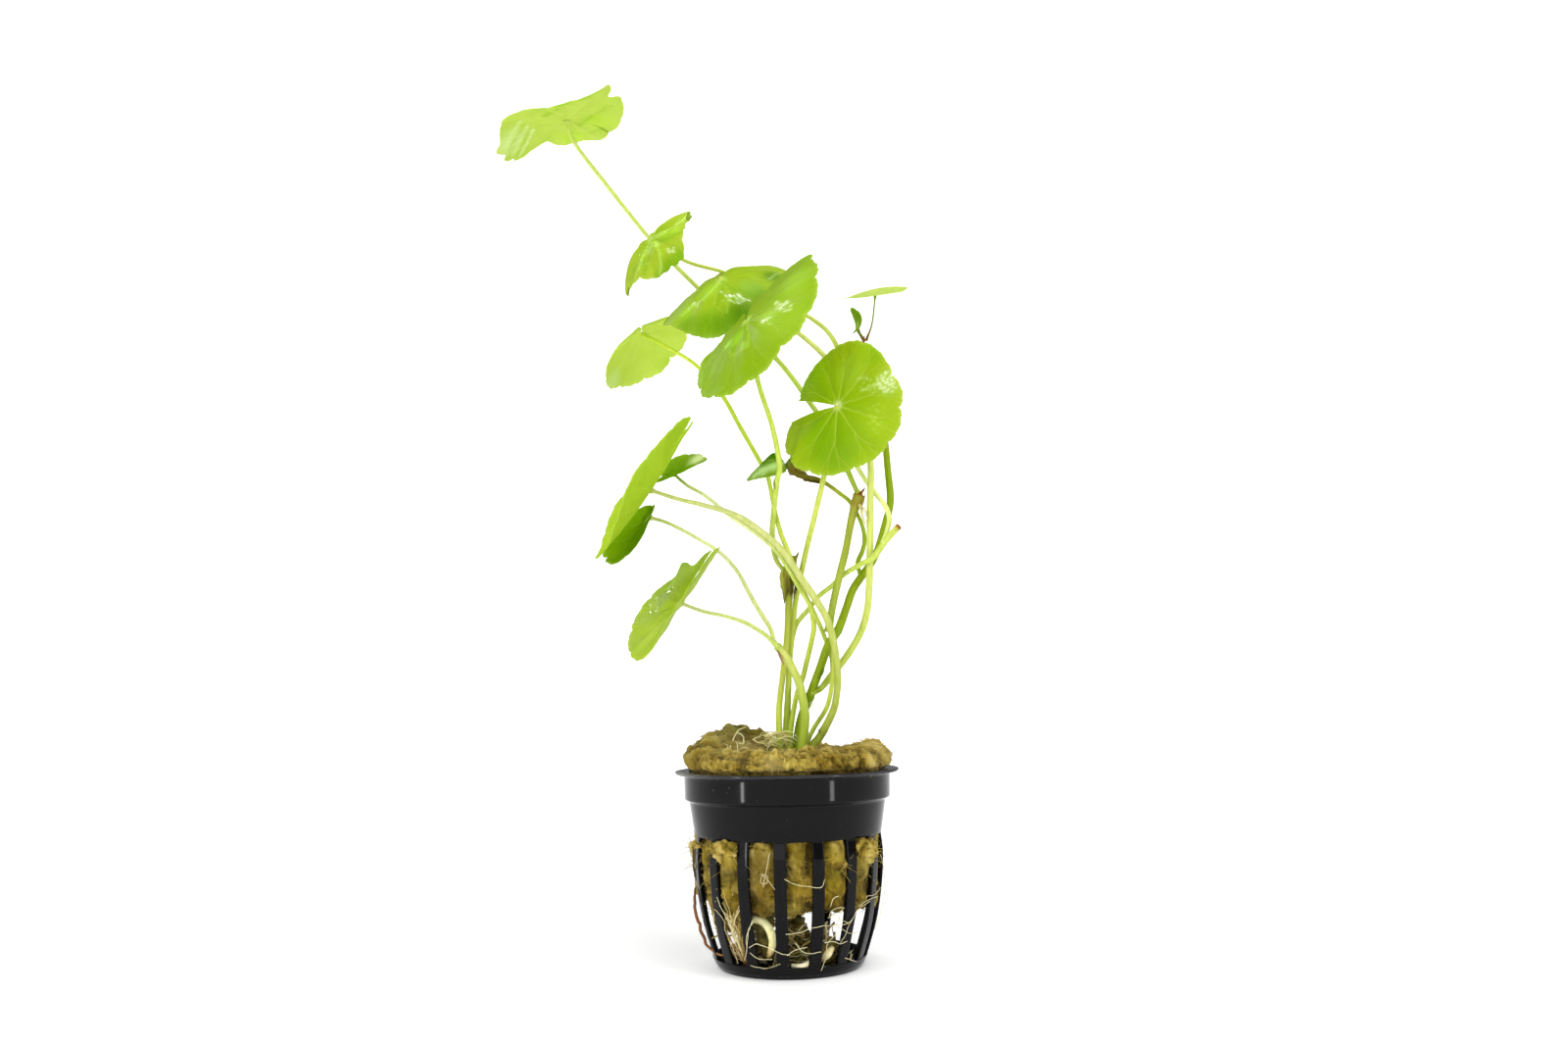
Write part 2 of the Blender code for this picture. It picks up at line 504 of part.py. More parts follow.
def main():
    clear_scene()
    plant = collection("pennywort_in_net_pot")
    cutters = collection("cutters")
    finishes = {name: material(name) for name in COLOURS}
    routes = {name: smooth_route(places, TUBE_STEP) for name, places in STEMS.items()}
    routes.update({name: stalk_route(name, places) for name, places in STALKS.items()})
    net_pot(plant, cutters, finishes["black_plastic"])
    wool_plug(plant, cutters, finishes["wool"], {name: routes[name] for name in FROM_WOOL})
    for name, route in routes.items():
        sides = 8 if name in STEMS else 6
        rod = tube(name, buried(route) if name in FROM_WOOL else route, sides)
        place_solid(rod, plant, finishes["stalk"])
    for name, places in ROOTS.items():
        place_solid(tube(name, smooth_route(places, TUBE_STEP), 6), plant, finishes["root"])
    for name, leaf in LEAVES.items():
        leaf_blade(name, leaf, plant, finishes["leaf"])


main()
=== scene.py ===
"""Looks of a Brazilian pennywort that grows out of a net pot.

Lengths are in millimetres until a mesh is made; the lamps, floor and wall are in metres.
Places on the plant are written as in the solids: (across, down, depth), a spot on the picture
that the camera takes and the distance behind the pot's axis. Colours are sRGB hex codes.
"""
import random
from math import cos, pi, radians, sin

import bpy
import numpy as np
from mathutils import Matrix, Vector, noise


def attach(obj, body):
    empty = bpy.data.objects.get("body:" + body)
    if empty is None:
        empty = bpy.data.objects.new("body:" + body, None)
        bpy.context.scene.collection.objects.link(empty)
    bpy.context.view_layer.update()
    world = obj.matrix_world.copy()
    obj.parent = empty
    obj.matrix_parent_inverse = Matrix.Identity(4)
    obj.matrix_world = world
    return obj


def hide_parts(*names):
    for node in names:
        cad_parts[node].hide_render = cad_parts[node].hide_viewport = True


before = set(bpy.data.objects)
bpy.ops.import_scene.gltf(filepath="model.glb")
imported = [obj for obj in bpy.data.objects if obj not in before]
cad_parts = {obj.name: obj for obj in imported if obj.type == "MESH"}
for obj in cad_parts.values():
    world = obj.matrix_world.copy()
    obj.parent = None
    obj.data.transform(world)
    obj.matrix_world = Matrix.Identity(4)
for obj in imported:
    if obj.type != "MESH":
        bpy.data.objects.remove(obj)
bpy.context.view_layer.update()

MM = 0.001
UP = np.array([0.0, 0.0, 1.0])

# Camera: the picture's middle and distance in its pixels, and where the eye stands
PICTURE_AXIS = 798.2
PICTURE_MIDDLE = 800.0
PICTURE_HALF_HEIGHT = 533.5
PICTURE_DISTANCE = 1324.5
EYE_DISTANCE = 319.4
EYE_HEIGHT = 64.0
EYE_PITCH = radians(7.46)
EYE_ROLL = radians(1.08)
LENS = 29.8

# Net pot
RIM_RADIUS = 27.0
POT_HEIGHT = 45.8
COLLAR_RADIUS = 24.9
COLLAR_BOTTOM = 39.2
LIP_FROM = COLLAR_RADIUS + 0.6
SLOT_RADIUS = 22.4
SLOT_TOP = 30.7
SLOT_BOTTOM = 2.9
WALL = 1.2
BAR_COUNT = 16
BAR_WIDTH = 2.9
FIRST_BAR = radians(17.5)
FLOOR_TOP = 1.3
POT_STEPS = 192
FLOOR_SLOTS = 8
# Inner radius, outer radius and the width of the floor between two slots
FLOOR_SLOT = (8.0, 14.0, 2.8)
# Profiles of the pot: (radius, height)
POT_SHELL = [
    (RIM_RADIUS, POT_HEIGHT), (RIM_RADIUS, POT_HEIGHT - 0.7), (COLLAR_RADIUS, POT_HEIGHT - 1.0),
    (COLLAR_RADIUS - 0.15, COLLAR_BOTTOM), (COLLAR_RADIUS - 1.25, COLLAR_BOTTOM - 0.5),
    (SLOT_RADIUS, SLOT_TOP), (SLOT_RADIUS - WALL, SLOT_TOP),
    (COLLAR_RADIUS - 1.3 - WALL, COLLAR_BOTTOM - 0.4), (COLLAR_RADIUS - 0.9 - WALL, COLLAR_BOTTOM + 0.6),
    (COLLAR_RADIUS - WALL, POT_HEIGHT)]
POT_FOOT = [
    (18.5, SLOT_BOTTOM), (17.8, 1.2), (16.9, 0.0), (15.2, 0.0), (15.2, FLOOR_TOP), (16.2, 1.5),
    (17.3, SLOT_BOTTOM)]
POT_SIDE = [
    (22.3, SLOT_TOP), (22.7, 26.0), (22.3, 19.5), (21.0, 11.5), (18.9, SLOT_BOTTOM + 1.6), (17.7, 1.2)]
POT_OUTSIDE = np.array([(16.9, 0.0), *POT_SIDE[:0:-1], (SLOT_RADIUS, SLOT_TOP), (24.0, 45.0)])

# Plug: how far out the wool may reach, and its outline as (radius, height) from the top on
PLUG_STEPS = 400
PLUG_BOTTOM = 14.2
RIM_TOP = 46.5
WOOL_BEHIND_BARS = 21.2
WOOL_IN_COLLAR = 22.7
WOOL_OVER_RIM = 26.2
PLUG_OUTLINE = [
    (0.0, 50.0), (8.0, 50.0), (15.0, 50.0), (20.5, 50.4), (23.6, 50.0), (25.1, 48.6), (25.3, 47.2),
    (24.4, 46.4), (23.0, 45.6), (22.6, 42.0), (21.9, 38.8), (21.0, 34.5), (20.9, SLOT_TOP), (21.2, 26.0),
    (20.8, 20.0), (20.2, 16.5), (18.6, PLUG_BOTTOM + 0.3), (14.0, PLUG_BOTTOM), (7.0, PLUG_BOTTOM),
    (0.0, PLUG_BOTTOM)]
# (x, y, width, height) of the plug's mounds
PLUG_BUMPS = (
    (-13, 12, 8, 5.4), (-21, -4, 4.5, 1.6), (20, 0, 4.5, 1.2), (15, -12, 5, 0.8), (4, 4, 6, -1.0),
    (-4, -2, 7, -0.8),
)
# (across, down, depth, reach, colour, strength, swelling) of stains and tufts on the wool's top
STAINS = (
    (708, 762, -4, 2.2, "#4f6821", 0.85, 0.5), (701, 770, -6, 2.0, "#6a6818", 0.7, 0.3),
    (754, 740, 12, 1.8, "#4f6815", 0.8, 0.3), (742, 748, 10, 3.0, "#6a6415", 0.85, 0),
    (735, 753, 8, 2.4, "#665f13", 0.7, 0), (765, 746, 12, 3.0, "#857a21", 0.7, 0.2),
    (780, 748, 12, 1.6, "#566e1f", 0.6, 0), (755, 758, 4, 6.5, "#a49464", 0.85, -0.3),
    (738, 762, 2, 5.0, "#9a8a44", 0.7, 0), (790, 758, 4, 4.0, "#5c531b", 0.7, 0),
    (690, 772, -3, 5.5, "#7f6c20", 0.5, -1.6), (728, 756, 6, 2.2, "#6a6a1c", 0.7, 0),
    (748, 743, 11, 2.2, "#5f661a", 0.7, 0.3), (708, 776, -8, 4.8, "#6c5a1a", 0.75, 0),
    (850, 774, -10, 5.5, "#74611a", 0.6, 0), (835, 776, -14, 4.0, "#7a651c", 0.5, 0),
    (720, 757, 0, 2.4, "#b5a43e", 0.6, 0.4), (890, 769, -8, 5.0, "#c8b26c", 0.6, 0),
    (893, 762, -2, 4.5, "#b79e41", 0.5, 0.4), (712, 781, -14, 2.5, "#5a4a14", 0.5, 0),
    (836, 781, -23, 3.4, "#5f4c14", 0.45, 0), (787, 782, -25, 2.8, "#c8b26c", 0.45, 0),
    (742, 771, -21, 3.8, "#c8b260", 0.35, 0), (770, 757, 2, 3.2, "#c4b47c", 0.5, 0),
    (860, 772, -20, 3.4, "#6f5a18", 0.3, 0),
)
# (across, down, reach, colour, strength, swelling) of folds and gaps in the wool behind the bars;
# the raised folds are painted pale, as painted light, and the gaps and hollows dark, as painted shade
FOLDS = (
    (733, 866, 2.6, "#cfbf4e", 0.85, 0.9), (745, 869, 2.4, "#c9b747", 0.85, 0.9),
    (715, 868, 2.4, "#c4b343", 0.8, 0.8), (733, 884, 3.2, "#a08f48", 0.6, 0.3),
    (855, 872, 3.4, "#7c6a24", 0.6, 0), (739, 894, 1.6, "#3f360a", 0.85, -1.1),
    (748, 893, 1.6, "#3f360a", 0.85, -1.1), (738, 880, 2.6, "#a89437", 0.6, 0.3),
    (741, 911, 2.8, "#b3a03a", 0.7, 0.6), (744, 925, 2.4, "#7c6a1e", 0.7, 0),
    (714, 900, 2.6, "#8f8228", 0.7, 0.3), (779, 885, 4.0, "#7c6a2c", 0.75, 0.1),
    (777, 912, 3.2, "#8a7424", 0.7, 0), (780, 929, 3.0, "#5f4e10", 0.8, -0.3),
    (812, 870, 3.0, "#9c8824", 0.6, 0.3), (825, 888, 1.3, "#4a3f0c", 0.85, -0.9),
    (825, 875, 1.3, "#574a0f", 0.8, -0.8), (817, 918, 3.0, "#c2a94a", 0.7, 0.2),
    (815, 905, 2.6, "#a08a26", 0.6, 0.4), (811, 930, 2.2, "#a9982c", 0.6, 0.4),
    (822, 924, 1.8, "#5a4b0d", 0.8, -0.6), (851, 880, 2.6, "#c6b344", 0.85, 0.8),
    (860, 884, 2.0, "#c9b749", 0.8, 0.7), (852, 891, 1.7, "#3b3109", 0.9, -1.3),
    (862, 890, 1.5, "#3b3109", 0.9, -1.2), (852, 900, 2.6, "#b09c2f", 0.75, 0.8),
    (848, 916, 2.2, "#968322", 0.7, 0.3), (853, 926, 2.2, "#5c4d0f", 0.8, -0.5),
    (882, 868, 2.6, "#c4b346", 0.85, 0.9), (892, 864, 2.4, "#cbbc54", 0.85, 0.9),
    (888, 880, 2.0, "#c2b144", 0.7, 0.6), (880, 893, 1.8, "#4f430d", 0.8, -0.8),
    (884, 908, 2.6, "#8a781c", 0.7, 0.2), (769, 892, 3.0, "#54440f", 0.4, 0),
    (808, 872, 2.6, "#4f400f", 0.35, 0), (806, 892, 3.0, "#4f400f", 0.35, 0),
    (804, 914, 3.2, "#4f400f", 0.35, 0), (806, 932, 2.4, "#4f400f", 0.3, 0),
    (874, 886, 2.4, "#54440f", 0.35, 0), (733, 896, 2.2, "#a8963c", 0.35, 0),
)
# Tufts that stand out between the bars: (across, down, how far in from the wall, radius)
TUFTS = (
    ((723, 865, 0.2, 0.4), (730, 864, -0.5, 1.0), (740, 867, -0.7, 0.9), (751, 873, -0.7, 0.3)),
    ((726, 868, 0.5, 0.4), (732, 873, 0.0, 0.9), (737, 880, 0.5, 0.3)),
    ((703, 864, 0.2, 0.4), (708, 861, -0.3, 1.0), (714, 864, 0.2, 0.4)),
    ((706, 864, 0.2, 0.4), (708, 872, 0.2, 0.6), (710, 884, 0.6, 0.2)),
    ((874, 867, 0.4, 0.5), (881, 862, -0.2, 1.2), (889, 863, -0.4, 1.1), (896, 871, 0.0, 0.3)),
    ((876, 873, 0.3, 0.6), (884, 870, -0.3, 1.3), (890, 878, 0.3, 0.5)),
    ((848, 881, 0.8, 0.5), (855, 883, 0.4, 0.8), (863, 880, 0.8, 0.5)),
)
FIBRES = 6400
TUFT_HAIRS = 36

# Stems and leaf stalks: (across, down, depth, radius) from the lowest point up
STEMS = {
    "stem_left": [
        (795.5, 750, 0.5, 0.70), (795, 723, 0.5, 0.65), (799, 687, 0.5, 0.65), (803, 650, 0.5, 0.65),
        (804.6, 620, 0.5, 0.72), (806, 603, 0.4, 0.8), (808, 586, 0.3, 0.8), (811, 567, 0.2, 0.6)],
    "stem_main": [
        (813, 765, 1.3, 0.95), (815, 745, 1.3, 0.95), (819, 728, 1.0, 0.95), (825, 714, 0.0, 0.95),
        (830, 700, -0.8, 0.9), (838, 678, -2.2, 0.9), (845, 658, -3.4, 0.9), (855, 643, -3.0, 0.9),
        (863, 622, -1.5, 0.85), (870, 602, -0.4, 0.85), (879, 588, 0.3, 0.85), (893, 567, 0.5, 0.8),
        (904, 532, 1.0, 0.8), (908.5, 510, 1.6, 0.8), (906, 480, 2.0, 0.75), (902, 440, 2.4, 0.7),
        (895, 400, 3.0, 0.65), (884, 352, 4.0, 0.6)],
    "stem_cut": [
        (846, 641, -3.2, 0.7), (850, 616, -3.2, 0.8), (857.6, 583, -3.0, 0.8), (863, 561, -3.0, 0.8),
        (868, 534, -3.0, 0.8), (872, 518, -3.0, 1.05), (876.5, 505, -3.0, 1.3)],
    "stem_low": [
        (804, 752, 3.9, 0.55), (805, 700, 4.0, 0.55), (807, 661, 3.9, 0.55), (812.6, 637, 3.4, 0.55),
        (824.7, 622, 2.8, 0.55), (835.6, 608, 2.0, 0.55), (849, 597.5, 0.8, 0.55), (861, 586, -0.8, 0.55),
        (881, 574, -4.8, 0.6), (891, 569, -5.4, 0.65), (904, 551, -5.6, 0.7), (916, 538, -5.6, 0.7)],
    "stem_side": [
        (879, 588, 0.3, 0.45), (875.5, 579, 0.4, 0.45), (875.5, 572, 0.4, 0.5), (880, 562, 0.2, 0.5),
        (882, 550, 0.2, 0.45), (879, 534, 0.0, 0.45), (868, 513, -0.8, 0.45), (857.6, 504, -1.0, 0.45),
        (844, 494, -1.0, 0.45), (833, 488.5, -1.2, 0.5), (822, 487, -2.2, 0.6), (814, 483, -3.0, 0.85),
        (808.5, 479, -3.4, 0.85)],
    "stem_front": [
        (818, 765, -3.0, 1.0), (821, 741, -3.0, 0.95), (821, 725, -3.0, 0.95), (816, 699, -3.0, 0.9),
        (810, 685, -3.0, 0.85), (802.5, 670.5, -3.0, 0.85), (792.5, 658.5, -3.0, 0.8)],
    "petiole_01": [
        (876, 504, -2.4, 0.6), (872.5, 497, 0.2, 0.55), (866, 482, 1.0, 0.6), (855, 455, 3.0, 0.6),
        (833, 420, 7.0, 0.6), (793, 367, 16.0, 0.6), (740, 320, 27.0, 0.55), (690, 272, 31.0, 0.55),
        (660, 240, 29.5, 0.5), (620, 190, 23.0, 0.5), (587, 147, 16.0, 0.45), (578, 123, 14.0, 0.4)],
    "petiole_02": [
        (801.5, 751, 2.1, 0.6), (805.5, 680, 2.1, 0.6), (809, 642, 2.1, 0.6), (812, 613, 2.1, 0.6),
        (818.5, 581, 1.4, 0.6), (824, 556, 0.6, 0.6), (830, 532, -1.4, 0.6), (840, 490, -3.4, 0.6),
        (849, 450, -1.0, 0.6), (859, 410, 1.6, 0.6), (860, 375, 5.5, 0.55), (848, 343, 11.0, 0.55),
        (825, 323, 18.0, 0.5), (785, 300, 25.5, 0.5), (742, 279, 27.5, 0.45), (700, 266.5, 19.0, 0.45),
        (665, 244, 8.0, 0.4)],
    "petiole_03": [
        (830, 706, -0.6, 0.5), (836.5, 703, -0.2, 0.55), (842, 697, 0.7, 0.7), (849, 688, 1.4, 0.75),
        (859, 676, 1.3, 0.75), (870, 660, 0.6, 0.75), (879, 643, 0.0, 0.75), (885, 622, -1.2, 0.75),
        (887, 595, -2.6, 0.75), (887.5, 567, -3.3, 0.75), (888, 512, -4.0, 0.75), (888, 470, -4.0, 0.7),
        (880, 425, -4.0, 0.7), (862, 385, -3.0, 0.65), (840, 362, -1.4, 0.6), (815, 340, 0.6, 0.55),
        (772, 309, 5.0, 0.5), (735, 285, 10.0, 0.45)],
    "petiole_04": [
        (806, 592, 0.3, 0.45), (799, 581, 0.4, 0.45), (795, 576, 0.3, 0.5), (790.5, 566, 0.1, 0.55),
        (788, 545, -0.8, 0.6), (790, 518, -2.6, 0.6), (793, 490, -6.8, 0.6), (795.5, 474, -8.4, 0.6),
        (788, 435, -11.0, 0.55), (773, 387, -17.0, 0.5), (762, 328, -22.0, 0.45)],
    "petiole_05": [
        (806.5, 752, -0.1, 0.55), (809, 730, -0.1, 0.55), (813, 709, 0.2, 0.55), (819, 692, 0.3, 0.55),
        (824, 672, -0.2, 0.55), (829, 650, -1.0, 0.55), (830.5, 638, -1.6, 0.55), (827, 619, -2.7, 0.55),
        (818.5, 600, -3.4, 0.55), (804, 562, -3.2, 0.55), (796.5, 543, -1.4, 0.55), (790, 518, 1.2, 0.5),
        (783.6, 486.6, 1.8, 0.5), (775, 470, 2.4, 0.5), (755, 435, 5.4, 0.5), (738, 405, 9.5, 0.5),
        (715, 377, 16.0, 0.45), (693, 361, 22.0, 0.45), (656, 341, 29.0, 0.4)],
    "petiole_06": [
        (902, 552, -5.4, 0.5), (905.5, 540, -4.2, 0.5), (907.5, 530, -3.6, 0.55), (905, 519, -3.2, 0.55),
        (898, 509, -2.4, 0.55), (888, 496, -1.4, 0.55), (877, 480, -1.6, 0.55), (866, 458, -4.2, 0.5),
        (859, 435, -8.0, 0.5), (855, 414, -12.0, 0.45)],
    "petiole_07": [(885, 344, 4.4, 0.25), (890, 329, 4.6, 0.2), (893, 302, 4.6, 0.2)],
    "petiole_08": [(880.5, 345.5, 3.3, 0.3), (877, 340, 3.1, 0.3), (875, 336, 3.0, 0.25)],
    "petiole_09": [
        (829, 762, -0.4, 0.9), (837, 751, -1.0, 0.85), (849.5, 727, -3.0, 0.8), (853.5, 711, -4.0, 0.75),
        (855, 690, -5.2, 0.75), (851.6, 660, -6.6, 0.75), (845, 634, -7.0, 0.75),
        (835.7, 616.5, -7.0, 0.75), (818, 590, -7.2, 0.75), (797, 560, -7.2, 0.7), (774, 540, -7.2, 0.65),
        (750, 525, -7.2, 0.6), (715, 514.5, -7.2, 0.5), (692, 509, -7.5, 0.45), (664, 500, -8.0, 0.4)],
    "petiole_10": [
        (793, 659, -2.8, 0.5), (789.5, 653, -1.6, 0.45), (786, 641, -1.4, 0.5), (776, 625, -0.6, 0.5),
        (765.5, 607, 0.6, 0.5), (755, 587, 2.6, 0.45), (744, 572.5, 4.8, 0.45), (731, 561, 6.6, 0.45),
        (706, 546, 8.2, 0.4), (680, 533, 9.0, 0.4), (662, 528, 9.0, 0.4)],
    "petiole_11": [
        (823, 760, 1.6, 0.55), (831, 742, 1.2, 0.5), (843, 723, 0.0, 0.5), (848, 704, -0.8, 0.5),
        (849.5, 681, -1.2, 0.5), (847.5, 666, -0.9, 0.5), (841, 649, -0.8, 0.5), (834, 632, -3.2, 0.5),
        (826, 616, -5.2, 0.5), (816, 600, -5.4, 0.5), (793, 563, -5.3, 0.5), (770, 543, -5.3, 0.45),
        (746, 527, -5.3, 0.45), (720, 506, -1.0, 0.4), (701, 495, 7.0, 0.4), (688, 484, 15.0, 0.35)],
    "petiole_12": [
        (793, 659, -3.2, 0.5), (786, 652, -3.9, 0.45), (779, 646, -4.2, 0.45), (760, 635, -4.6, 0.45),
        (738, 628, -5.0, 0.4), (717, 623.5, -5.0, 0.4), (694, 615, -5.0, 0.35)],
}
# Those that come out of the wool. The others start at a fork.
FROM_WOOL = (
    "stem_left", "stem_main", "stem_low", "stem_front",
    "petiole_02", "petiole_05", "petiole_09", "petiole_11")
# Colours of a stalk from its foot to its end
STALK_TINTS = {
    "stem_left": ("#b0c63e", "#c7d058", "#cbd061", "#a8ae40", "#82802c"),
    "stem_main": ("#8fa61f", "#859a12", "#8b9e18", "#889e12", "#8fa21f", "#879c18"),
    "stem_cut": ("#8a9a2e", "#9eac40", "#a0ad41", "#9ea73b", "#9ca239", "#919035"),
    "stem_low": ("#a0ba34", "#b4ca49", "#c4d460", "#c8d768", "#c6d464", "#c6d264"),
    "stem_side": ("#96ab1e", "#9baf20", "#9db328", "#a1b32f", "#a0a636", "#776b16", "#5f5112"),
    "stem_front": ("#96ab2a", "#a4b63b", "#bfc961", "#d0d379"),
    "petiole_01": ("#b8ca4d", "#c4d464", "#c8d770", "#c8d76c"),
    "petiole_03": ("#b1c144", "#d1d874", "#d7dc7e", "#dcde84", "#cfd669"),
    "petiole_04": ("#bbbf63", "#c4d463", "#c4d458", "#b9ce48"),
    "petiole_05": ("#afc33d", "#c3d053", "#d7e06a", "#c0d344", "#d3e24d", "#d7e753"),
    "petiole_06": ("#d2dc80", "#e4eb97", "#e7eb9b", "#cad856"),
    "petiole_07": ("#8a692b", "#7f892f", "#8ea239"),
    "petiole_08": ("#7a5927", "#6f7323", "#7c8b2b"),
    "petiole_09": ("#a1ae3c", "#b4be59", "#c8cb7c", "#ced18c", "#c8cb7c"),
    "petiole_10": ("#cfd87b", "#e1e5a5", "#eaecb4", "#d8de8b"),
    "petiole_11": ("#c7d35a", "#c3cf59", "#c2ce66", "#f0f0bb", "#e3e894"),
    "petiole_12": ("#bfce64", "#ced682", "#d8dc9c"),
}
PALE_STALK = ("#bac94a", "#cdd666", "#d3da6f", "#d5dc6c")
# Joints on a stem: (across, down, swelling, colour)
JOINTS = {
    "stem_main": ((884, 350, 0.7, "#9a4a1c"), (855, 643, 0.1, "#7c9820"), (826, 712, 0.12, "#6f8a14")),
    "stem_cut": ((877, 504, 0.0, "#8a5614"), (873, 514, 0.1, "#8f7a2c")),
    "stem_low": ((917, 537, 0.0, "#a8690c"),),
    "stem_left": ((806, 603, 0.1, "#6f6a24"),),
    "petiole_09": ((837.6, 745, 0.1, "#8a9a34"),),
    "stem_front": ((795, 662, 0.15, "#a8bc50"),),
    "petiole_03": ((838, 702, 0.15, "#8ea42c"),),
}
# Dry sheaths, torn ends and rootlets on a stem: (colours, places from the foot on)
DRY_BITS = {
    "stem_left": (
        (
            ("#b4b450", "#a6a444", "#96923c", "#4a3a14"), (801, 577, -0.9, 0.3), (799.5, 588, -1.0, 0.95),
            (800, 601, -0.8, 0.7), (800.5, 616, -0.5, 0.08)),
        (
            ("#9c9c38", "#8f8c30", "#857e2c", "#55481a"), (804.5, 570, -1.4, 0.4), (804, 583, -1.6, 1.15),
            (805.5, 597, -1.5, 0.85), (807, 608, -1.2, 0.1)),
        (
            ("#a8a640", "#7f7626", "#4c3e12"), (803, 574, -2.2, 0.2), (802, 588, -2.6, 0.3),
            (803, 606, -2.2, 0.1)),
        (("#5c5216", "#463a10"), (808, 580, -2.4, 0.2), (807, 592, -2.6, 0.35), (808, 606, -2.0, 0.1)),
        (
            ("#6f6a1c", "#5a4e14", "#4a3c10", "#7b6a34"), (810, 580, -1.0, 0.2), (813.5, 590, -1.1, 0.6),
            (812, 600, -0.9, 0.45), (809.5, 611, -0.6, 0.06)),
        (("#8a7a34", "#6a5524"), (799, 584, -0.6, 0.1), (797, 594, -0.4, 0.12), (797.5, 601, -0.3, 0.04)),
        (
            ("#8a8c34", "#6a641c", "#77702a"), (807, 578, 0.9, 0.25), (811, 572, 0.3, 0.42),
            (813.5, 566, 0.1, 0.3), (815.5, 563, 0.1, 0.06)),
        (("#7c7628", "#5a4c18"), (806, 600, 1.2, 0.2), (802, 590, 1.3, 0.45), (803, 576, 0.9, 0.2))),
    "stem_cut": (
        (
            ("#8a5c18", "#7a4610", "#9a6420"), (874, 512, -3.6, 0.3), (877, 505, -3.8, 0.5),
            (880, 501, -3.7, 0.35), (883, 497, -3.5, 0.05)),
        (("#7c5a1c", "#8a5410"), (873, 513, -2.6, 0.3), (873.4, 505, -2.6, 0.42), (873.5, 500, -2.6, 0.08)),
        (("#b09a48", "#9a7c30"), (878, 517, -3.4, 0.3), (881, 511, -3.5, 0.3), (882.5, 504, -3.4, 0.08)),
        (
            ("#c8bc74", "#dcd49c"), (877, 514, -4.4, 0.3), (879, 522, -4.9, 0.36), (881, 530, -4.9, 0.28),
            (884, 537, -4.6, 0.05)),
        (
            ("#d4cc8c", "#c0b468"), (876, 515, -4.4, 0.2), (882, 519, -5.0, 0.2), (885, 528, -5.0, 0.16),
            (882, 536, -4.8, 0.04)),
        (("#6a5a3c", "#8a7a54"), (878, 516, -4.6, 0.09), (881, 521, -5.2, 0.1), (884, 527, -5.2, 0.05))),
    "stem_low": (
        (
            ("#b0720f", "#9a5c0c"), (911, 543.5, -5.6, 0.72), (914.5, 539.5, -5.6, 0.74),
            (917.5, 536, -5.6, 0.7)),),
    "stem_side": (
        (
            ("#80901c", "#7a7c16", "#66520e", "#6f6014", "#6a7c1c"), (832, 489, -1.4, 0.5),
            (822, 486, -2.0, 0.8), (814, 480, -2.6, 1.7), (809, 475, -3.1, 2.0), (803, 471, -3.5, 1.0)),
        (
            ("#6f7a14", "#4c400c", "#5a480c"), (848, 495, -1.0, 0.2), (834, 492, -1.6, 0.35),
            (820, 489, -2.6, 0.4)),
        (("#b0ac58", "#8a7c34"), (808, 470, -4.2, 0.2), (812, 474, -4.6, 0.3), (815, 480, -4.4, 0.1))),
    "stem_front": (
        (
            ("#b3925e", "#9a7448", "#7a5434"), (800, 678, -3.4, 0.2), (797, 672, -3.9, 0.3),
            (794.5, 666, -3.9, 0.24), (792.5, 660.5, -3.7, 0.04)),),
    "stem_main": (
        (("#5a7812", "#4a640e"), (836, 693, -2.4, 0.2), (839, 686, -3.2, 0.3), (841.5, 680, -3.4, 0.05)),
        (("#f2f0da", "#ece8cc"), (826, 715, -0.8, 0.1), (828.5, 724, -1.0, 0.1), (828, 733, -0.9, 0.03)),
        (("#efecd4", "#e6e0bc"), (827, 714, -0.6, 0.1), (830, 721, -0.8, 0.12), (831, 728, -0.7, 0.03)),
        (("#ab5a24", "#8c4416"), (882, 352, 3.2, 0.2), (881, 346, 2.9, 0.3), (883, 342, 2.9, 0.05)),
        (("#6a5a1c", "#4a3a10"), (893, 572, -0.2, 0.15), (897, 562, -0.5, 0.2), (902, 553, -0.3, 0.04))),
    "petiole_04": (
        (("#9a9038", "#7c6c28"), (793, 503, -5.0, 0.2), (790.5, 496, -6.4, 0.35), (790, 488, -7.2, 0.06)),),
    "petiole_09": (
        (("#8a6a34", "#7a5a28"), (835, 744, -1.8, 0.12), (838, 747, -2.2, 0.16), (841, 748, -1.9, 0.04)),),
}
# How much thicker the stalks are drawn than their solids
STALK_SWELL = 1.14

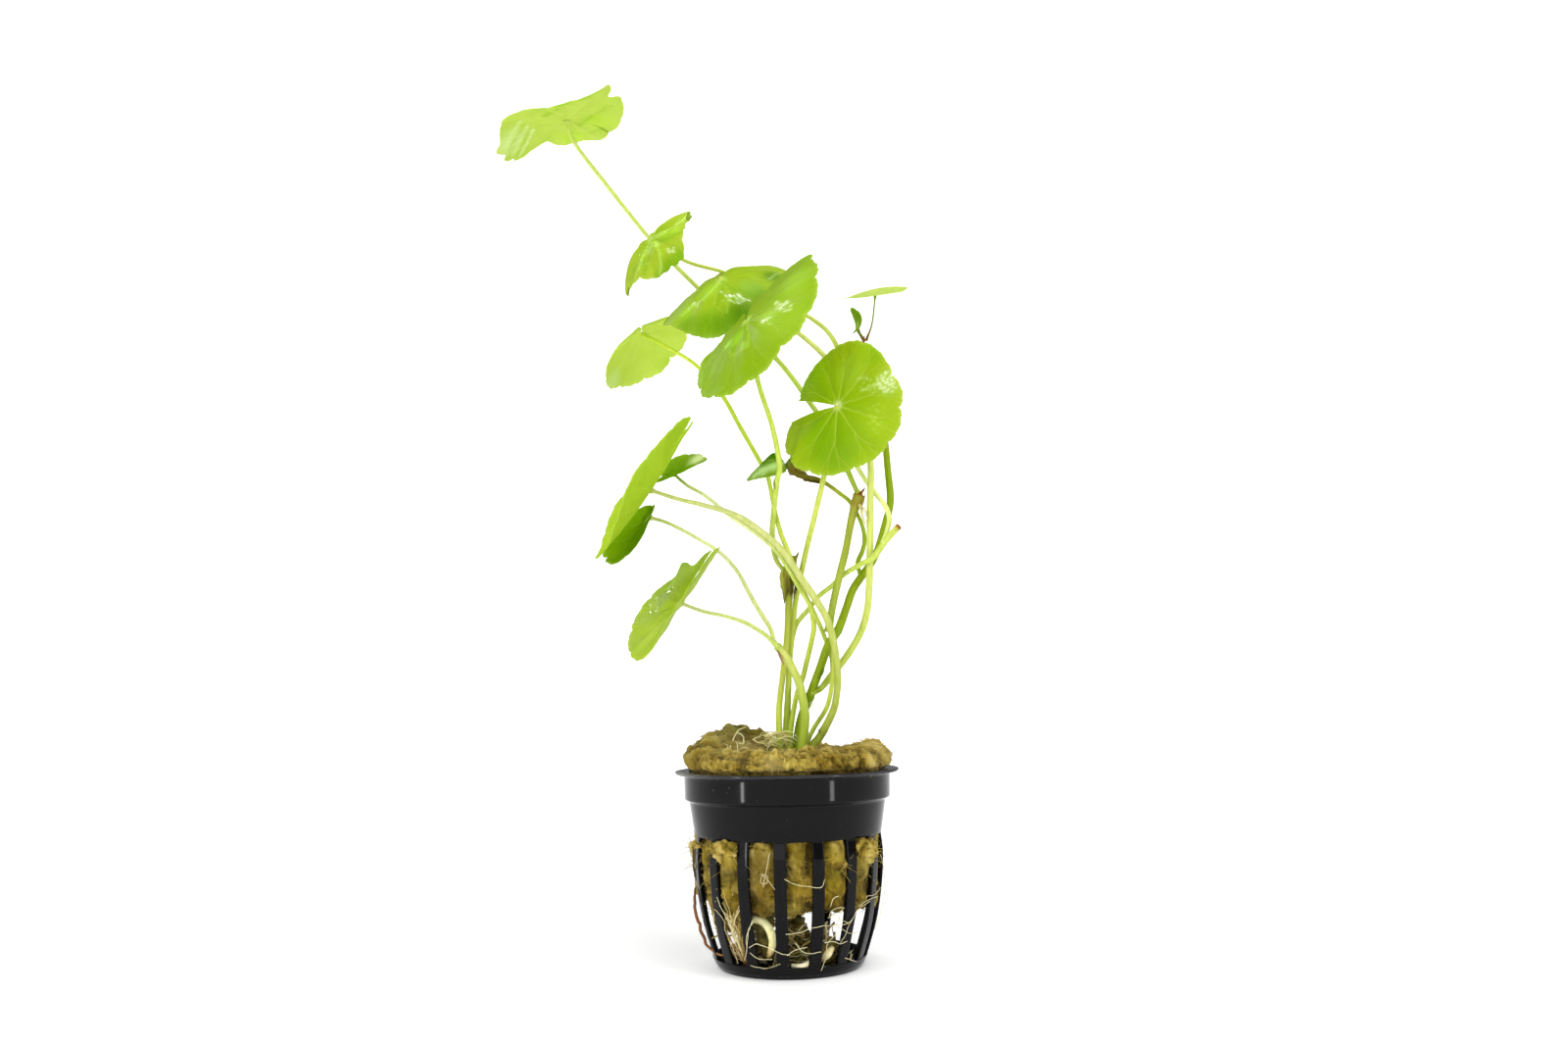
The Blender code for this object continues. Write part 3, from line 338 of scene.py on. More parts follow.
# Leaf blades, as in the solids. facing is the compass direction of the upper side, from the front
# towards the right, and tilt is how far up it looks; turn is the way the leaf's tip points,
# anticlockwise from uphill. shape is how much further the blade reaches at its tip and at the tip's
# left, how oval it is and at what angle, saddle is (depth, angle) and ripple (depth, waves, phase),
# all as shares of the radius and degrees.
# Places on the margin are counted in lobes from the sinus on, which is the cut at the stalk, given
# as degrees on either side. bulges are (place, width, share of the radius) of parts that reach
# further or less far, and bends are (place, width, share out where it starts, share of the radius)
# of parts that curl towards the upper side.
LEAVES = {
    "leaf_01": dict(
        at=(578, 123, 14), facing=-58, tilt=82, turn=190, radius=17.8, cup=-0.10, saddle=(-0.05, 3),
        ripple=(0.09, 3, 34), shape=(0.12, -0.01, -0.10, -8), lobes=9, sinus=-2, puff=0.06, teeth=0.5,
        bulges=(
            (6.62, 0.2, 0.13), (7.0, 0.12, -0.14), (2.1, 0.35, -0.30), (3.05, 0.3, 0.03),
            (3.45, 0.09, 0.07), (3.25, 0.06, -0.07), (2.85, 0.07, -0.08)),
        bends=((3.2, 0.7, 0.45, -0.25), (6.6, 0.3, 0.6, 0.05))),
    "leaf_02": dict(
        at=(665, 244, 8), facing=-53, tilt=35.5, turn=-45, radius=12.4, cup=-0.40, saddle=(0.15, -5),
        ripple=(0.09, 3, 32), shape=(-0.04, 0.01, 0.01, 8), lobes=8, sinus=3, puff=0.11, teeth=1.3,
        bulges=(
            (0.0, 0.35, 0.22), (7.8, 0.45, 0.25), (3.2, 0.5, -0.07), (4.1, 0.2, 0.06), (0.28, 0.05, -0.09),
            (7.5, 0.05, -0.08), (7.75, 0.04, 0.05))),
    "leaf_03": dict(
        at=(735, 285, 10), facing=-33, tilt=47, turn=-165, radius=17.7, cup=-0.39, saddle=(0.03, 0),
        shape=(0.05, 0, 0.03, 6), lobes=9, teeth=0.35, puff=0.03,
        bulges=((2.4, 0.5, 0.10), (3.5, 0.5, -0.07)), bends=((2.5, 0.7, 0.4, 0.20),)),
    "leaf_04": dict(
        at=(762, 328, -22), facing=-57, tilt=33, turn=-136, radius=20.9, cup=-0.19, saddle=(-0.06, 12),
        ripple=(0.02, 3, 0), shape=(0, 0.03, 0.02, -4), lobes=11, teeth=0.8,
        bulges=(
            (9.35, 0.3, 0.09), (11.0, 1.0, 0.10), (3.9, 0.7, 0.04), (10.2, 0.5, 0.04), (1.8, 0.7, -0.06)),
        bends=((1.6, 1.3, 0.82, 0.05),)),
    "leaf_05": dict(
        at=(656, 341, 29), facing=-108, tilt=58, turn=107, radius=14.2, cup=-0.40, saddle=(0, 0),
        shape=(0.02, 0.10, 0, 0), lobes=9, sinus=3,
        bulges=((6.5, 0.5, 0.04), (9.0, 0.8, 0.10), (0.0, 0.6, 0.08))),
    "leaf_06": dict(
        at=(855, 414, -12), facing=-33, tilt=8, turn=-96, radius=16.1, cup=-0.09, saddle=(0.16, 75),
        shape=(0.02, -0.06, -0.06, -12), lobes=10, teeth=0.8,
        bulges=((0.5, 0.8, 0.09), (5.3, 0.8, 0.06), (7.0, 0.4, 0.03))),
    "leaf_07": dict(
        at=(893, 301, 4.6), facing=-29, tilt=76, turn=-131, radius=8.4, cup=0.07, saddle=(0.05, -4),
        shape=(0.03, 0.02, -0.02, -7), lobes=7),
    "leaf_08": dict(
        at=(875, 335, 3.0), facing=-72, tilt=24, turn=18, radius=2.8, cup=0.18, saddle=(0.23, -26),
        ripple=(0.06, 3, -14), shape=(0.6, 0.05, 0.11, 2), lobes=5),
    "leaf_09": dict(
        at=(664, 500, -8), facing=-78, tilt=33.4, turn=169, radius=19.4, cup=0.17, saddle=(-0.12, 15),
        shape=(-0.02, -0.01, 0.03, 10), lobes=10, teeth=0.6, sinus=3, bulges=((5.0, 0.4, 0.10),)),
    "leaf_10": dict(
        at=(662, 528, 9), facing=-70, tilt=28, turn=185, radius=11.6, cup=0.2, saddle=(-0.15, 38),
        shape=(0.34, -0.06, 0.02, -8), lobes=9,
        bulges=((0.0, 0.9, -0.75), (8.6, 1.5, -0.70), (1.5, 0.5, 0.20), (3.4, 0.7, -0.08))),
    "leaf_11": dict(
        at=(688, 484, 15), facing=-46, tilt=57, turn=-75, radius=8.4, cup=0.18, saddle=(-0.10, 17),
        ripple=(0.05, 2, 108), shape=(0.14, 0.03, 0.02, 10), lobes=8),
    "leaf_12": dict(
        at=(694, 615, -5), facing=-69, tilt=37, turn=181, radius=17.4, cup=0.12, saddle=(-0.08, 9),
        ripple=(0.03, 2, 168), shape=(0.03, 0, 0, -4), lobes=9, teeth=0.7, puff=0.035,
        bulges=((1.05, 0.16, 0.24), (0.75, 0.2, -0.05))),
    "leaf_13": dict(
        at=(797, 472, -4.6), facing=40, tilt=24, turn=99, radius=2.9, cup=-0.25, saddle=(-0.2, -1),
        ripple=(-0.12, 2, 9), shape=(0.6, 0.02, 0.1, 4), lobes=6, teeth=0.5, puff=0.10,
        bulges=((2.4, 0.5, -0.16), (3.0, 0.25, 0.22))),
}
SINUS = 11
BLADE_THICKNESS = 0.32
RINGS = 26
SECTORS_PER_LOBE = 24
# Upper side, underside, and colour towards the margin of the upper side
LEAF_TINTS = {
    "leaf_01": ("#afcc3d", "#bbd258", "#bdd45c"),
    "leaf_02": ("#98b420", "#a4b42b", "#a2b82f"),
    "leaf_03": ("#92b017", "#94b024", "#9ab82f"),
    "leaf_04": ("#7d9f07", "#85a510", "#85a90b"),
    "leaf_05": ("#b4ce47", "#c2d956", "#b4d04c"),
    "leaf_06": ("#8bae03", "#9cb91d", "#9cb40b"),
    "leaf_07": ("#bcd460", "#c2d868", "#cade74"),
    "leaf_08": ("#6c9610", "#749e16", "#7ca01c"),
    "leaf_09": ("#9bbc25", "#a1c02c", "#a1be30"),
    # leaf_10 and leaf_11 are given a dark green: painted shade, for blades that lie in shade
    "leaf_10": ("#699602", "#679402", "#6e9804"),
    "leaf_11": ("#6c9c06", "#6c9a08", "#84ac20"),
    "leaf_12": ("#9bb61e", "#a4be28", "#a4be28"),
    "leaf_13": ("#6f9020", "#86a844", "#86a044"),
}
# Paler and darker places: (across, down, reach, colour, strength). Some are the leaves' own tone, others
# painted light and shade: painted shade where a blade lies under another and where it turns away from the
# light, painted highlights and sheen on leaf_04, leaf_06 and leaf_12, and painted glow at leaf_11's end
LEAF_TONES_AND_PAINTED_LIGHT = {
    "leaf_01": (
        (520, 145, 4.5, "#dcecaa", 0.6), (552, 113, 2.6, "#88b41a", 0.7), (572, 106, 2.6, "#86b018", 0.8),
        (593, 96, 2.6, "#8ab41c", 0.7), (610, 124, 4.0, "#b6da38", 0.5), (585, 140, 4.0, "#b8dc3c", 0.5)),
    "leaf_02": (
        (686, 272, 3.2, "#6c9800", 0.85), (695, 262, 2.4, "#74a008", 0.8), (678, 282, 2.2, "#6c9800", 0.8),
        (664, 256, 1.4, "#bfe070", 0.7), (656, 268, 1.4, "#7aa420", 0.6), (668, 249, 1.2, "#c8e678", 0.7),
        (690, 234, 1.6, "#a8d03c", 0.6), (680, 242, 1.2, "#86b024", 0.6), (676, 238, 2.5, "#a8d23a", 0.5),
        (703, 225, 2.0, "#a0c83a", 0.4)),
    "leaf_03": (
        (756, 319, 4.6, "#4c7a00", 0.95), (771, 300, 3.4, "#5a8808", 0.8), (789, 282, 3.0, "#568408", 0.8),
        (720, 332, 4.5, "#689800", 0.85), (700, 332, 3.5, "#6c9a08", 0.8), (738, 332, 4.0, "#5c8c00", 0.8),
        (736, 287, 1.6, "#b8dc60", 0.6), (765, 292, 3.5, "#8ab43c", 0.6), (750, 304, 2.0, "#78a410", 0.6),
        (725, 296, 3.5, "#a8d23c", 0.6), (700, 318, 3.0, "#98c62c", 0.5)),
    "leaf_04": (
        (800, 318, 8.0, "#b8dc4c", 0.28), (785, 322, 3.0, "#a8d23c", 0.5), (751, 346, 2.6, "#8cc400", 0.9),
        (743, 352, 1.2, "#a8d850", 0.7), (758, 352, 1.2, "#a0d040", 0.6), (762, 328, 1.2, "#bce468", 0.7),
        (815, 285, 5.0, "#a4d030", 0.5), (722, 380, 4.0, "#84ae18", 0.6), (726, 356, 1.8, "#c9d2b8", 0.6)),
    "leaf_05": (
        (626, 390, 3.5, "#d4e898", 0.7), (650, 345, 3.0, "#bcdc50", 0.5), (690, 375, 3.0, "#a4c82c", 0.5)),
    "leaf_06": (
        (828, 385, 6.0, "#8eb804", 0.8), (905, 388, 3.0, "#bcd850", 0.4), (855, 414, 1.0, "#eef6b4", 0.8),
        (880, 455, 4.0, "#98b008", 0.7), (893, 350, 4.0, "#a4c820", 0.5), (868, 378, 4.0, "#b4d44c", 0.22),
        (850, 460, 6.0, "#6c9800", 0.88), (835, 440, 4.0, "#7ca800", 0.7), (893, 362, 3.0, "#84ae08", 0.5),
        (872, 445, 9.0, "#7ca200", 0.6), (895, 430, 4.0, "#a4c010", 0.5)),
    "leaf_09": (
        (690, 440, 5.0, "#94b824", 0.5), (612, 575, 3.0, "#84ac24", 0.5), (655, 470, 4.0, "#a8cc40", 0.4)),
    "leaf_10": ((655, 530, 4.0, "#6a9604", 0.7), (622, 567, 3.5, "#7ca20c", 0.6)),
    "leaf_11": ((713, 468, 2.8, "#f2ffb4", 0.97), (685, 480, 4.0, "#5a8c00", 0.7)),
    "leaf_12": (
        (675, 612, 3.0, "#a8bc6c", 0.5), (660, 650, 4.0, "#b4d040", 0.6), (703, 590, 3.0, "#82a41c", 0.7),
        (722, 565, 3.0, "#94a836", 0.5)),
    "leaf_13": (
        (780, 468, 1.7, "#588408", 0.9), (788, 464, 1.9, "#487804", 0.95), (797, 465, 1.8, "#3c6a04", 0.95),
        (778, 480, 1.5, "#a8c87c", 0.9), (788, 476, 1.4, "#a0c470", 0.9), (796, 473, 1.1, "#8ab058", 0.8),
        (786, 486, 1.3, "#7c9c20", 0.8), (771, 486, 1.2, "#8aac50", 0.7)),
}
# Creases and ridges on the blades: (places, reach, colour, strength). Ridges are painted paler and creases
# darker, as painted light and shade, and the small pale squiggles are painted glints on wet places
LEAF_CREASE_LIGHT_SHADE_GLINTS = {
    "leaf_01": (
        (((538, 129), (531, 142), (523, 158)), 0.6, "#dcecaa", 0.5),
        (((544, 132), (538, 145), (531, 157)), 0.5, "#dcecaa", 0.7),
        (((530, 124), (522, 136), (516, 148)), 0.5, "#d8eaa2", 0.65),
        (((534, 127), (526, 141), (519, 154)), 0.4, "#9cc034", 0.6),
        (((541, 131), (535, 143), (527, 158)), 0.4, "#a0c43a", 0.6),
        (((556, 118), (576, 108), (612, 92)), 0.8, "#8fb824", 0.6),
        (((590, 128), (604, 118), (622, 108)), 0.6, "#98c02c", 0.5),
        (((584, 136), (600, 136), (618, 130)), 0.6, "#9cc430", 0.45)),
    "leaf_02": (
        (((681, 254), (683, 258), (687, 257), (687, 253)), 0.25, "#e8f8c0", 0.7),
        (((664, 246), (676, 238), (690, 230), (703, 220)), 0.5, "#c4e470", 0.7),
        (((663, 247), (656, 262), (648, 284)), 0.5, "#bce068", 0.6),
        (((667, 250), (662, 264), (657, 280)), 0.5, "#78a41c", 0.7),
        (((672, 247), (684, 242), (696, 236)), 0.5, "#7ca81c", 0.7),
        (((670, 248), (674, 262), (674, 280)), 0.4, "#c0e06c", 0.5),
        (((660, 250), (652, 264), (643, 284)), 0.5, "#82ac28", 0.6)),
    "leaf_03": (
        (((736, 298), (741, 302), (747, 303), (752, 300), (757, 304), (764, 306)), 0.24, "#eefad0", 0.6),
        (((744, 307), (752, 309), (759, 308)), 0.22, "#e4f4b8", 0.45),
        (((704, 314), (708, 310), (713, 308), (712, 312)), 0.3, "#e8f8c4", 0.65),
        (((786, 284), (790, 281), (796, 278)), 0.3, "#dcf0a8", 0.6),
        (((736, 286), (726, 298), (712, 310), (696, 322)), 0.5, "#b4da5c", 0.6),
        (((738, 287), (744, 300), (742, 318)), 0.4, "#a8d048", 0.4),
        (((737, 287), (750, 296), (768, 300)), 0.5, "#74a414", 0.6),
        (((738, 292), (732, 310), (722, 326)), 0.5, "#78a818", 0.5)),
    "leaf_06": (
        (((880, 398), (890, 394), (898, 390)), 0.3, "#cfe488", 0.5),
        (((876, 386), (886, 386)), 0.3, "#cfe488", 0.4),
        (((816, 398), (820, 393), (824, 394)), 0.3, "#d4e890", 0.3)),
    "leaf_13": (
        (((768, 486), (778, 480), (790, 476), (802, 472)), 0.5, "#b4d088", 0.8),
        (((776, 470), (788, 465), (800, 465)), 0.7, "#3c6a04", 0.9),
        (((772, 477), (784, 472), (798, 469)), 0.45, "#4f7c10", 0.8),
        (((774, 488), (788, 484), (800, 480)), 0.5, "#6a9018", 0.7)),
    "leaf_04": (
        (((793, 309), (798, 312), (803, 308), (806, 312)), 0.4, "#e4f4b4", 0.7),
        (((794, 315), (800, 317), (806, 316)), 0.35, "#dcf0a4", 0.6),
        (((777, 330), (781, 326), (786, 324)), 0.3, "#dcf0a8", 0.6),
        (((741, 354), (746, 363), (753, 360), (761, 354)), 0.5, "#a4cc38", 0.4),
        (((763, 330), (764, 342), (764, 354)), 0.45, "#a8d040", 0.4),
        (((762, 329), (752, 342), (743, 356)), 0.5, "#7ca410", 0.6),
        (((764, 330), (780, 318), (800, 296)), 0.5, "#86ae14", 0.5)),
}
# Painted glints: pale flecks painted where wet places glint, as (across, down, half width, half height,
# how many, colour, strength)
LEAF_PAINTED_GLINTS = {
    "leaf_03": ((748, 304, 12, 5, 12, "#e6f6bc", 0.4),),
    "leaf_04": ((798, 313, 9, 6, 14, "#e4f4b8", 0.7), (782, 328, 5, 4, 5, "#d4eca0", 0.5)),
    "leaf_06": (
        (905, 390, 10, 12, 32, "#f4fbdc", 0.78), (889, 392, 12, 9, 12, "#d4ea90", 0.45),
        (893, 426, 8, 18, 14, "#c4de68", 0.4)),
}
FLECK_REACH = 0.3
GOLDEN_TURN = pi * (3 - 5 ** 0.5)
# Wet places on the leaves: (across, down, reach)
WET_PLACES = {
    "leaf_02": ((684, 257, 1.6), (655, 262, 2.4), (662, 252, 1.6)),
    "leaf_03": ((712, 311, 2.6), (745, 300, 2.2), (757, 303, 2.2), (788, 285, 1.8)),
    "leaf_04": ((797, 313, 3.0), (780, 328, 2.4), (790, 320, 2.0)),
    "leaf_06": ((905, 388, 3.4), (896, 392, 2.4), (909, 380, 2.4)),
    "leaf_12": ((675, 612, 3.0), (665, 625, 2.0), (690, 600, 2.4)),
}
# Roots: (across, down, depth, radius) from one end to the other
THICK_ROOT = (
    (763, 941, -14.5, 0.5), (769, 938, -15.8, 0.8), (778, 940, -16.2, 0.9), (785, 948, -16.4, 0.95),
    (788.4, 958, -16.2, 0.95), (787, 969, -15.4, 0.8), (784, 976, -14.4, 0.5))
SIDE_ROOT = (
    (710, 905, -4.5, 0.2), (709.5, 915, -4.5, 0.35), (710, 931, -4.2, 0.4), (716, 949, -4.2, 0.4),
    (722.5, 966, -4.5, 0.35), (737, 974, -8, 0.25))
SIDE_THREAD = (
    (707, 863, -4.5, 0.15), (708, 885, -4.6, 0.25), (712, 905, -4.6, 0.25), (713, 915, -4.5, 0.2))
MAT_LUMPS = (
    ((780, 930, -8, 2.6), (779, 948, -9, 2.2), (782, 968, -9, 1.5), (783, 980, -9, 0.6)),
    ((812, 938, -2, 2.0), (814, 955, -4, 2.6), (819, 972, -5, 3.0), (824, 984, -5, 2.0)),
    ((838, 950, -3, 1.2), (842, 968, -4, 2.4), (838, 982, -4, 1.6)))
# Pale root ends in the mat: (colours, places)
MAT_ENDS = (
    (("#e9e0b8", "#f6efcc", "#e2d4a4"), (808, 985, -16, 0.5), (818, 986, -17, 0.75), (828, 981, -17, 0.5)),
    (("#d9cf98", "#efe6b2", "#dccf94"), (840, 979, -14, 0.5), (845, 973, -15, 0.9), (850, 966, -14.5, 0.5)))
BUNDLE_STRANDS = 26
MAT_STRANDS = 150
FOOT_HAIRS = 60
# Single rootlets that cross the bars, each a list of (across, down)
ROOTLETS = (
    ((801, 896), (807, 900), (816, 903), (830, 905), (839, 905), (842, 897)),
    ((776, 892), (783, 894), (782, 901), (776, 900), (778, 893), (784, 899), (791, 908)),
    ((779, 905), (783, 885), (786, 870)), ((802, 953), (816, 951), (828, 947), (844, 944.5)),
    ((844, 944), (863, 943), (870, 937), (874, 930), (882, 923), (896, 914)), ((868, 979), (868, 970)),
    ((868, 979), (874, 981)), ((868, 979), (862, 977)), ((868, 979), (871, 973)),
    ((846, 934), (850, 928), (858, 925), (862, 926)), ((770, 939), (764, 948), (762, 958), (763, 966)),
    ((765, 972), (775, 978), (788, 979)), ((729, 927), (738, 939), (741, 952), (747, 966), (753, 983)),
    ((899, 872), (902, 890), (903, 905), (899, 930), (892, 948)),
    ((838, 990), (843, 975), (845, 962), (856, 950)), ((860, 926), (856, 938), (850, 946), (843, 952)),
    ((852, 941), (860, 948), (868, 952), (876, 950)), ((845, 936), (852, 934), (858, 939), (866, 941)),
    ((842, 962), (850, 960), (857, 963), (864, 960)), ((870, 936), (866, 945), (862, 955), (858, 962)),
    ((896, 914), (886, 918), (876, 925)), ((899, 905), (893, 912), (884, 915)),
    ((847, 925), (850, 918), (856, 914)), ((812, 962), (818, 970), (828, 973), (838, 971)),
    ((803, 975), (812, 969), (824, 966)), ((764, 967), (772, 963), (782, 966), (796, 972), (806, 974)),
    ((738, 930), (746, 943), (752, 958), (758, 975)), ((731, 915), (738, 930), (747, 950), (756, 970)),
    ((768, 938), (764, 950), (762, 965), (760, 980)), ((766, 985), (780, 988), (796, 984)),
    ((708, 880), (709, 893), (712, 902)),
)
# Rootlets on the wool's top: (radius, places as across, down and depth)
TOP_ROOTLETS = (
    (0.17, (745, 763, -1), (748, 755, 3), (752, 747, 6), (756, 744, 7), (761, 742, 8)),
    (0.16, (752, 747, 6), (757, 750, 4), (759, 754, 2), (758, 758, 0), (753, 757, 0)),
    (0.14, (768, 754, 2), (771, 753, 2), (776, 751, 1)),
    (0.16, (768, 754, 2), (773, 757, 0), (779, 759, -1), (783, 762, -2)),
    (0.10, (738, 758, 0), (743, 761, -1), (741, 764, -2)),
    (0.12, (752, 765, -2), (753, 760, 0), (751, 757, 1)),
    (0.10, (755, 764, -2), (759, 762, -1), (763, 764, -2)))

# Colours
BLACK = "#070708"
WORN_BLACK = "#0c0c0d"
DUST = "#8d8a84"
# The lip is painted grey, and paler at its left end: painted glow of light through the thin plastic
LIP = "#3a3a3d"
LIP_GLOW = "#a4a49e"
WOOL_LIGHT = "#bca64a"
WOOL_CREAM = "#cdba70"
WOOL_MIDDLE = "#8f7a28"
WOOL_DARK = "#483a08"
WOOL_GREY = "#978956"
WOOL_TONES = (WOOL_DARK, WOOL_MIDDLE, WOOL_LIGHT, WOOL_CREAM)
PALE_CORE = "#c6dd7c"
PALE_MARGIN = "#c8d870"
ROOT_CREAM = "#efe4ac"
ROOT_PALE = "#cfc59c"

# Lamps: (name, place, what it faces, width and height, power)
LAMPS = [
    ("overhead", (0.15, -0.25, 0.85), (0, 0, 0.12), (0.45, 0.45), 3.4),
    ("right_strip", (0.68, -0.56, 0.30), (0, 0, 0.1), (0.07, 0.60), 1.8),
    ("left_strip", (-0.70, -0.54, 0.30), (0, 0, 0.1), (0.07, 0.60), 1.8),
    ("front_fill", (-0.15, -1.3, 0.4), (0, 0, 0.06), (0.8, 0.8), 4.2),
    ("right_low", (0.147, -0.138, 0.027), (0.01, -0.023, 0.027), (0.016, 0.05), 0.03),
    ("left_low", (-0.148, -0.138, 0.027), (-0.01, -0.023, 0.027), (0.010, 0.05), 0.04)]
# Small lamps that glint on the wet places
for number, place in enumerate((
        (-0.64, 0.60, 0.71), (-0.67, 0.52, 0.66), (-0.43, 0.42, 0.93), (-0.55, 0.58, 0.79),
        (-0.71, 0.31, 0.77), (-0.20, -0.14, 1.14), (-0.59, -0.61, 0.73), (-0.43, -0.89, 0.32)), 1):
    LAMPS.append((f"glint_{number}", place, (0, 0, 0.15), (0.06, 0.06), 0.4))
LAMPS.append(("wall_wash", (0, 0.55, 0.9), (0, 1.5, 0.55), (2.4, 0.3), 16.0))


def linear(code):
    """The linear colour of an sRGB hex code."""
    parts = [int(code[i:i + 2], 16) / 255 for i in (1, 3, 5)]
    return np.array([c / 12.92 if c <= 0.04045 else ((c + 0.055) / 1.055) ** 2.4 for c in parts])


def ramp(codes, shares):
    """Linear colours along a list of hex codes, for shares from 0 to 1."""
    stops = np.array([linear(code) for code in codes])
    places = np.linspace(0, 1, len(codes))
    return np.stack([np.interp(shares, places, stops[:, i]) for i in range(3)], axis=-1)


def painted(tints, code, amount):
    """The tints with a colour laid over them, by an amount from 0 to 1."""
    return tints * (1 - amount) + linear(code) * amount


def seen_at(across, down, depth):
    """The place in space of a spot on the camera's picture, depth behind the pot's axis."""
    x = across - PICTURE_AXIS
    y = PICTURE_HALF_HEIGHT - down
    right = x * cos(EYE_ROLL) + y * sin(EYE_ROLL)
    rise = y * cos(EYE_ROLL) - x * sin(EYE_ROLL)
    forward = PICTURE_DISTANCE * cos(EYE_PITCH) - rise * sin(EYE_PITCH)
    upward = rise * cos(EYE_PITCH) + PICTURE_DISTANCE * sin(EYE_PITCH)
    reach = (EYE_DISTANCE + depth) / forward
    return np.array([right * reach, depth, EYE_HEIGHT + upward * reach])


def picture_spots(points):
    """Where the camera sees each place: across and down, the other way round from seen_at."""
    ahead = EYE_DISTANCE + points[:, 1]
    side, climb = points[:, 0] / ahead, (points[:, 2] - EYE_HEIGHT) / ahead
    rise = PICTURE_DISTANCE * (climb * cos(EYE_PITCH) - sin(EYE_PITCH))
    rise /= cos(EYE_PITCH) + climb * sin(EYE_PITCH)
    right = side * (PICTURE_DISTANCE * cos(EYE_PITCH) - rise * sin(EYE_PITCH))
    across = right * cos(EYE_ROLL) - rise * sin(EYE_ROLL) + PICTURE_AXIS
    return across, PICTURE_HALF_HEIGHT - right * sin(EYE_ROLL) - rise * cos(EYE_ROLL)


def drawn(places):
    """Places in space, each with its radius, from rows of across, down, depth and radius."""
    return [(*seen_at(*place[:3]), place[3]) for place in places]


def wall_depth(across, down):
    """How far in front of the axis the pot's wall is, at a spot of the picture."""
    depth = -20.0
    for _ in range(6):
        x, _, z = seen_at(across, down, depth)
        radius = np.interp(z, POT_OUTSIDE[:, 1], POT_OUTSIDE[:, 0])
        depth = -np.sqrt(max(radius ** 2 - x ** 2, 4.0))
    return depth


def smooth_route(knots, step):
    """Rows of x, y, z and radius on one smooth curve through the knots."""
    knots = np.array(knots, dtype=float)
    ends = np.vstack([knots[:1], knots, knots[-1:]])
    rows = []
    for before, start, end, after in zip(ends, ends[1:], ends[2:], ends[3:]):
        count = max(2, round(np.linalg.norm(end[:3] - start[:3]) / step))
        t = (np.arange(count) / count)[:, None]
        rows.append(0.5 * (2 * start + (end - before) * t
                           + (2 * before - 5 * start + 4 * end - after) * t ** 2
                           + (3 * start - before - 3 * end + after) * t ** 3))
    rows.append(knots[-1:])
    return np.vstack(rows)


def smooth_profile(places, step):
    """Rows of radius and height on one smooth curve through the places."""
    return smooth_route([(radius, 0, height, 1) for radius, height in places], step)[:, (0, 2)]


def grain(points, scale, octaves=3):
    """Fractal noise at each point, around zero."""
    return np.array([noise.fractal(Vector(p) * scale, 1.0, 2.0, octaves) for p in points])


def ring_faces(rows, sides, turned_over=False, closed=False):
    """Faces that join each ring of vertices to the next one."""
    faces = []
    for i in range(rows if closed else rows - 1):
        n = (i + 1) % rows
        for j in range(sides):
            k = (j + 1) % sides
            face = (i * sides + j, i * sides + k, n * sides + k, n * sides + j)
            faces.append(face[:1] + face[:0:-1] if turned_over else face)
    return faces


def shown(name, mesh, finish):
    """A smooth-shaded object that shows a mesh in the scene."""
    mesh.polygons.foreach_set("use_smooth", [True] * len(mesh.polygons))
    mesh.materials.append(finish)
    made = bpy.data.objects.new(name, mesh)
    bpy.context.scene.collection.objects.link(made)
    return made


class Mesh:
    """Collects parts of one mesh in millimetres, with a colour for each vertex."""

    def __init__(self):
        self.verts, self.faces, self.tints, self.extras, self.wets = [], [], [], [], []
        self.count = 0

    def add(self, verts, faces, tints, extras=0.0, wets=0.0):
        """Adds a part. extras are places on a leaf blade, and wets says how wet it is there."""
        verts = np.asarray(verts, dtype=float)
        self.verts.append(verts)
        self.tints.append(np.broadcast_to(tints, verts.shape))
        self.extras.append(np.broadcast_to(extras, verts.shape))
        self.wets.append(np.broadcast_to(wets, len(verts)))
        self.faces.extend([tuple(int(i) + self.count for i in face) for face in faces])
        self.count += len(verts)

    def make(self, name, finish, slot, *replaced):
        """Makes the piece, which stands for the solids that it replaces."""
        mesh = bpy.data.meshes.new(name)
        verts = np.concatenate(self.verts) * MM
        mesh.from_pydata(verts.tolist(), [], self.faces)
        mesh.validate()
        tint = mesh.attributes.new("tint", "FLOAT_COLOR", "POINT")
        colours = np.column_stack([np.concatenate(self.tints), np.concatenate(self.wets)])
        tint.data.foreach_set("color", colours.ravel())
        extra = mesh.attributes.new("extra", "FLOAT_VECTOR", "POINT")
        extra.data.foreach_set("vector", np.concatenate(self.extras).ravel())
        piece = shown(name, mesh, finish)
        if replaced:
            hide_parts(*replaced)
        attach(piece, "root")


def frames_along(points):
    """A pair of directions across the route at each point, without twist."""
    steps = np.gradient(points, axis=0)
    tangents = steps / np.linalg.norm(steps, axis=1)[:, None]
    aside = np.cross(tangents[0], (0.3, 0.9, 0.2))
    sides, others = [], []
    for tangent in tangents:
        aside = aside - tangent * aside.dot(tangent)
        aside = aside / np.linalg.norm(aside)
        sides.append(aside)
        others.append(np.cross(tangent, aside))
    return np.array(sides), np.array(others)


